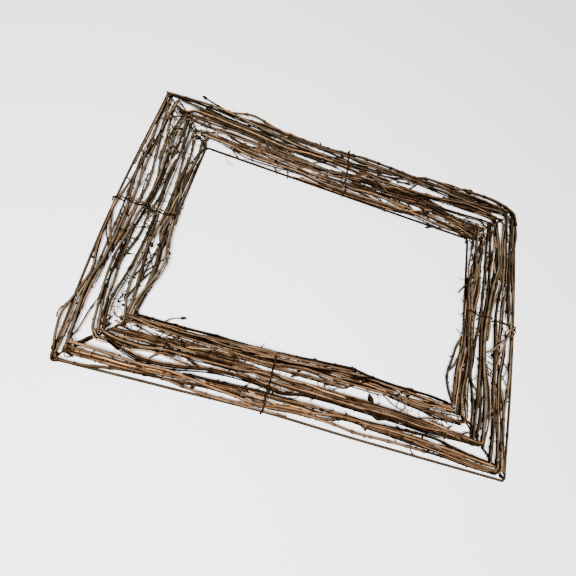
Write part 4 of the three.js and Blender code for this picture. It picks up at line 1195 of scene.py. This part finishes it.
# The inner row lies over the inner loop and frames the open middle. Its twigs are more crooked, and
# few of them bend round a corner: most end there, in a tangle of cut shoots and tendrils.
inner_stems = add_row("inner", {
    "bottom": [
        (3.8, 1, "black", "-170,60.5 -130,60.5 -90,61.5 -50,61.5 -15,63.5 15,66.5 54,69 75,66 105,64.5 "
         "140,64 168,61"),
        (3.8, 3, "brown", "-172,56 -150,53 -110,51.5 -75,51 -35,51 -20,53 0,55.5 35,53.5 70,53 96,53"),
        (4, 2, "brown", "-170,58 -125,57 -75,58.5 -35,57 10,60 40,63.5 58,65 85,62.5 115,61 168,58"),
        (3.6, 1, "black", "-173,54 -130,54 -90,54 -40,54.5 0,58 30,59.5 75,58.5 105,55 150,56.5 172,55"),
        (4, 2, "brown", "78,56 100,52.5 130,49 150,46 180,46"),
        (3.8, 2, "brown", "-64,60 -20,61 20,64 52,67"),
        (1.6, 2, "black", "-46,52 -44,48 -15,47 15,47 48,48.5 54,54"),
        (1.6, 2, "brown", "84,56 90,51 98,46 108,42.5 118,41"),
        (1.7, 1, "pale", "-150,58 -145,61 -138.5,67 -128,70.5"),
    ],
    "top": [
        (4, 2, "tan", "-172,36 -135,38 -100,37 -70,40.5 -40,44.5 0,46 40,43 70,45 96,47.5"),
        (4, 3, "tan", "-170,41 -140,43.5 -115,49 -85,49 -55,47.5 -20,51 20,52 60,51.5 95,52 "
         "125,55.5 172,56"),
        (3.4, 1, "dark", "-136,45 -100,44 -60,46 -30,43 0,41 40,39 75,37.5 110,38.5 150,42 180,43"),
        (4, 2, "tan", "52,37 80,36 106,33 130,38 155,42 182,42"),
        (2.8, 1, "tan", "-52,54 -20,57 20,56 62,55 100,51"),
        (3.8, 2, "grey", "86,48 105,46 130,49.5 156,52 172,50"),
        (3.4, 1, "brown", "128,33 150,37 190,38"),
        (2, 2, "brown", "160,55 150,56"),
    ],
    "left": [
        (4.2, 2, "dark", "-112,58 -95,56 -70,59 -45,58 -15,54 20,52 50,49.5 80,50.5 108,48"),
        (3.8, 3, "tan", "-111,52 -85,54.5 -65,61 -45,65.5 -25,62 0,58.5 30,57 56,53"),
        (3.6, 1, "brown", "-112,50 -75,48 -45,45 -20,41.5 10,41"),
        (3, 2, "brown", "-110,48 -94,43.5 -70,40 -45,41.5 -15,44.5 15,47 55,47 95,43.5 124,44"),
        (3.6, 2, "dark", "6,54 50,55 95,58.5 112,57"),
        (3.4, 1, "dark", "-60,60 -30,57.5 -10,50 20,49"),
        (2.2, 2, "brown", "-94,42 -80,46 -62,53 -52,58"),
        (1.7, 3, "dark", "-108,52 -90,50 -70,48 -45,45 -30,44"),
        (1.6, 3, "dark", "-92,42 -75,47 -55,56"),
        (1.6, 3, "dark", "-66,43 -45,48 -30,55"),
        (1.8, 2, "dark", "80,53 95,57 110,58 118,57"),
        (1.8, 2, "brown", "80,49 95,50.5 108,47 122,45"),
    ],
    "right": [
        (4, 2, "tan", "-120,46 -90,48 -55,48.5 -25,46 10,46.5 40,43 70,44 90,42 114,45"),
        (4.2, 3, "grey", "-112,52 -90,54 -60,50 -35,49 -10,51 20,53 50,54 62,48 90,50 112,50"),
        (4.4, 1, "black", "-112,57 -80,60 -50,57.5 -20,53 20,55 52,56"),
        (4, 2, "dark", "-104,62 -70,61 -40,57 -10,55 30,57 48,58"),
        (2.9, 2, "dark", "-104,61 -90,68 -78,71.5 -68,71 -60,65 -48,60"),
        (2.9, 2, "deep", "-70,72 -52,67 -38,64 -24,58"),
        (2.2, 2, "dark", "48,56 38,61 32,65 28,67"),
    ],
}, {
    "bent within": 0.5,
    "fullness": {"bottom": 0.94, "top": 0.92, "left": 0.98, "right": 1.04},
    "lightness": {"bottom": (0.06, 0.105), "top": (0.16, 0.155), "left": (0.135, 0.125),
                  "right": (0.19, 0.1)},
    "warmth": {"bottom": 0.7, "top": 0.6, "left": 0.35, "right": 0.4},
    "sheaves": {
        "bottom": [(4, 2, "-180,56,6 -150,56,5 -120,57,5"), (6, 2, "-150,57,4 -100,56,5 -30,58,5 30,62,5"),
                   (6, 2, "30,60,5 80,60,5 130,57,5 168,58,3"),
                   (2, 2, "-60,48,2 0,50,2 50,50,2"), (4, 2, "110,52,3 150,50,4 180,50,4")],
        "top": [(4, 2, "-184,38,4 -150,39,4 -110,43,5 -60,46,6"), (4, 2, "-60,48,6 20,49,6 90,48,7"),
                (3, 2, "90,47,8 140,48,8 185,46,8"), (7, 3, "140,46,8 165,50,8 194,46,9")],
        "left": [(2, 2, "-110,50,5 -80,55,5"), (3, 2, "-34,55,7 -20,55,6 0,54,6"),
                 (6, 2, "-20,53,6 40,54,6 82,54,5"), (3, 1, "14,59,3 60,60,2 104,61,2")],
        "right": [(7, 2, "-112,56,6 -60,57,6 -20,55,5"), (7, 2, "-20,52,5 30,53,5 70,48,5"),
                  (7, 2, "40,52,6 80,48,6 108,46,6"), (6, 3, "92,50,7 132,48,9")],
    },
    "tangles": {
        "bottom": [(8, "100,52,4 150,52,4"), (5, "-180,56,5 -165,58,4")],
        "top": [(10, "-140,46,5 -60,48,4"), (10, "0,46,5 120,48,6"), (14, "150,48,8 188,48,8")],
        "left": [(6, "-100,42,5 -70,44,6"), (6, "90,48,4 122,50,6")],
        "right": [(14, "45,52,5 112,48,6"), (8, "-40,52,4 10,52,4"), (8, "-110,52,6 -90,52,6")],
    },
    "knots": {
        "bottom": [(54, 69, 7, 2.6, 0.2), (-72, 53, 9, 2.0, 0.4), (-88, 50, 9, 2.2, 0.45),
                   (-170, 58, 8, 3.2, 0.4),
                   (118, 65, 6, 2.4, 0.2), (178, 48, 7, 2.6, 0.25)],
        "top": [(-175, 39, 8, 2.8, 0.35), (-84, 42, 10, 2.4, 0.3), (112, 44, 8, 2.6, 0.25),
                (165, 50, 9, 4.0, 0.3),
                (176, 46, 9, 3.4, 0.3), (186, 40, 9, 2.8, 0.3), (166, 60, 5, 2.6, 0.3),
                (-150, 36, 7, 2.0, 0.2)],
        "left": [(-72, 59, 8, 2.4, 0.3), (-32, 66, 7, 2.2, 0.25), (-108, 50, 8, 3.0, 0.35),
                 (118, 50, 8, 3.2, 0.35)],
        "right": [(-80, 70, 6, 1.8, 0.25), (-64, 68, 6, 2.0, 0.35), (108, 56, 8, 3.2, 0.3),
                  (-38, 50, 10, 2.2, 0.5)],
    },
    "loose": {
        "bottom": [("-184,52 -178,56 -170,58 -162,62", 1.3, 8, 0.3), ("46,61 54,66 55,71", 1.4, 6, 0.2),
                   ("112,64 118,66 124,63", 1.3, 6, 0.2), ("-76,53 -70,49 -64,51", 0.9, 11, 0.4),
                   ("164,48 175,46 184,50 190,45", 1.4, 8, 0.25), ("60,55 68,60 80,57", 1.0, 8, 0.15)],
        "top": [("-178,34 -172,42 -167,50 -165,57", 1.2, 7, 0.35), ("-166,42 -168,50 -165,58", 0.9, 6, 0.2),
                ("-136,48 -130,53 -126,57", 0.8, 6, 0.45), ("-68,52 -66,57 -66,61", 0.8, 5, 0.4),
                ("104,39 110,47 114,52", 1.3, 11, 0.25), ("150,44 160,52 170,58", 1.4, 12, 0.25),
                ("152,56 162,50 176,45 186,42", 1.3, 12, 0.3), ("160,43 168,48 180,52", 1.0, 13, 0.35),
                ("166,56 166,62 165,68", 1.2, 6, 0.3)],
        "left": [("116,44 121,50 118,57", 1.0, 9, 0.3), ("100,60 108,61 116,58 124,62", 0.9, 6, 0.3),
                 ("-112,44 -106,50 -112,56", 1.2, 9, 0.35), ("78,50 84,55 82,61", 1.0, 9, 0.3)],
        "right": [("60,42 72,48 84,54 98,56", 0.9, 9, 0.15), ("74,56 84,50 96,46 106,44", 0.9, 9, 0.2),
                  ("-62,50 -56,56 -52,62", 1.0, 8, 0.4)],
    },
    "buds": {
        "bottom": [("-150,58 -145,61 -138,67 -130,70", 0.65, 5, 0.6, 6)],
        "top": [("150,56 135,57 124,60 115,63", 0.6, 6, 0.5, 5.5)],
    },
}, 37)


# Wire bindings go over the twigs near the middle of each side, to hold them down on the frame. Each is
# a pair of thin wires twisted together, and hooks down past both loops. The left side has a second one.
# Each binding: its side, its places along it at the outer and the inner end, and its tone.
BINDINGS = {
    "binding_bottom": ("bottom", -30.5, -30.5, 0.3),
    "binding_top": ("top", -3, 2, 0.34),
    "binding_left": ("left", 7, 4.5, 0.3),
    "binding_left_pale": ("left", 10.5, 7.5, 0.62),
    "binding_right": ("right", 2, 3, 0.42),
}
BINDING_STEP = 3.5
BINDING_INSET = 3.0
BINDING_CLEARANCE = 1.3
BINDING_HIGHEST = 14.9
NEAR_TWIG = 4.5
# The two points of a hook: how far out past the binding's end, and how high.
HOOK = ((1.9, 2.6), (2.2, 1.0))
TWIST = 1.25
STRAND_OFFSET = 0.55
STRAND_HALF_WIDTH = 0.65
binding_coat = stem_finish("brown binding wire", 0.0001, Patchiness=0.3, Streaks=0.2)
all_stems = {side: outer_stems[side] + middle_stems[side] + inner_stems[side] for side in SIDES}


def binding_line(name, side, outer_s, inner_s):
    """Over the highest twig at each place between the CAD strand's two ends, then down past the wires."""
    low, high = (1000 * np.array(corner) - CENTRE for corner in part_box(name))
    axis = SIDES[side]["axis"]
    across = 1 - axis
    sign = sum(SIDES[side]["inward"])
    outer_edge, inner_edge = (low[across], high[across]) if sign > 0 else (high[across], low[across])
    start, end = outer_edge + sign * BINDING_INSET, inner_edge - sign * BINDING_INSET
    count = round(abs(end - start) / BINDING_STEP)
    tops = np.vstack([np.column_stack([item["points"], item["half_width"]]) for item in all_stems[side]])
    line = []
    for k in range(count + 1):
        place = np.zeros(3)
        place[across] = start + (end - start) * k / count
        place[axis] = outer_s + (inner_s - outer_s) * k / count
        near = tops[np.hypot(*(tops[:, :2] - place[:2]).T) < NEAR_TWIG]
        height = (near[:, 2] + near[:, 3]).max() if len(near) else 2 * WIRE_HALF_WIDTH
        place[2] = min(max(height, 2 * WIRE_HALF_WIDTH) + BINDING_CLEARANCE, BINDING_HIGHEST)
        line.append(place)
    hooks = []
    for last, way in ((line[0], -sign), (line[-1], sign)):
        hook = [last.copy() for _ in HOOK]
        for point, (out, height) in zip(hook, HOOK):
            point[across] += out * way
            point[2] = height
        hooks.append(hook)
    return smooth_path(hooks[0][::-1] + line + hooks[1], 3)


for name, (side, outer_s, inner_s, tone) in BINDINGS.items():
    line = binding_line(name, side, outer_s, inner_s)
    twist = np.arange(len(line)) * TWIST
    aside = np.array(SIDES[side]["along"] + (0.0,))
    strands = []
    for phase in (0, math.pi):
        offset = STRAND_OFFSET * (np.outer(np.cos(twist + phase), aside)
                                  + np.outer(np.sin(twist + phase), (0, 0, 1)))
        strands.append(stem(line + offset, STRAND_HALF_WIDTH, tone, seed=phase))
    binding = grow_stems(name, strands, binding_coat, Step=0.0015, Wander=0.0003, Sides=8, Relief=0.1)
    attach(binding, "root")
    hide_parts(name)
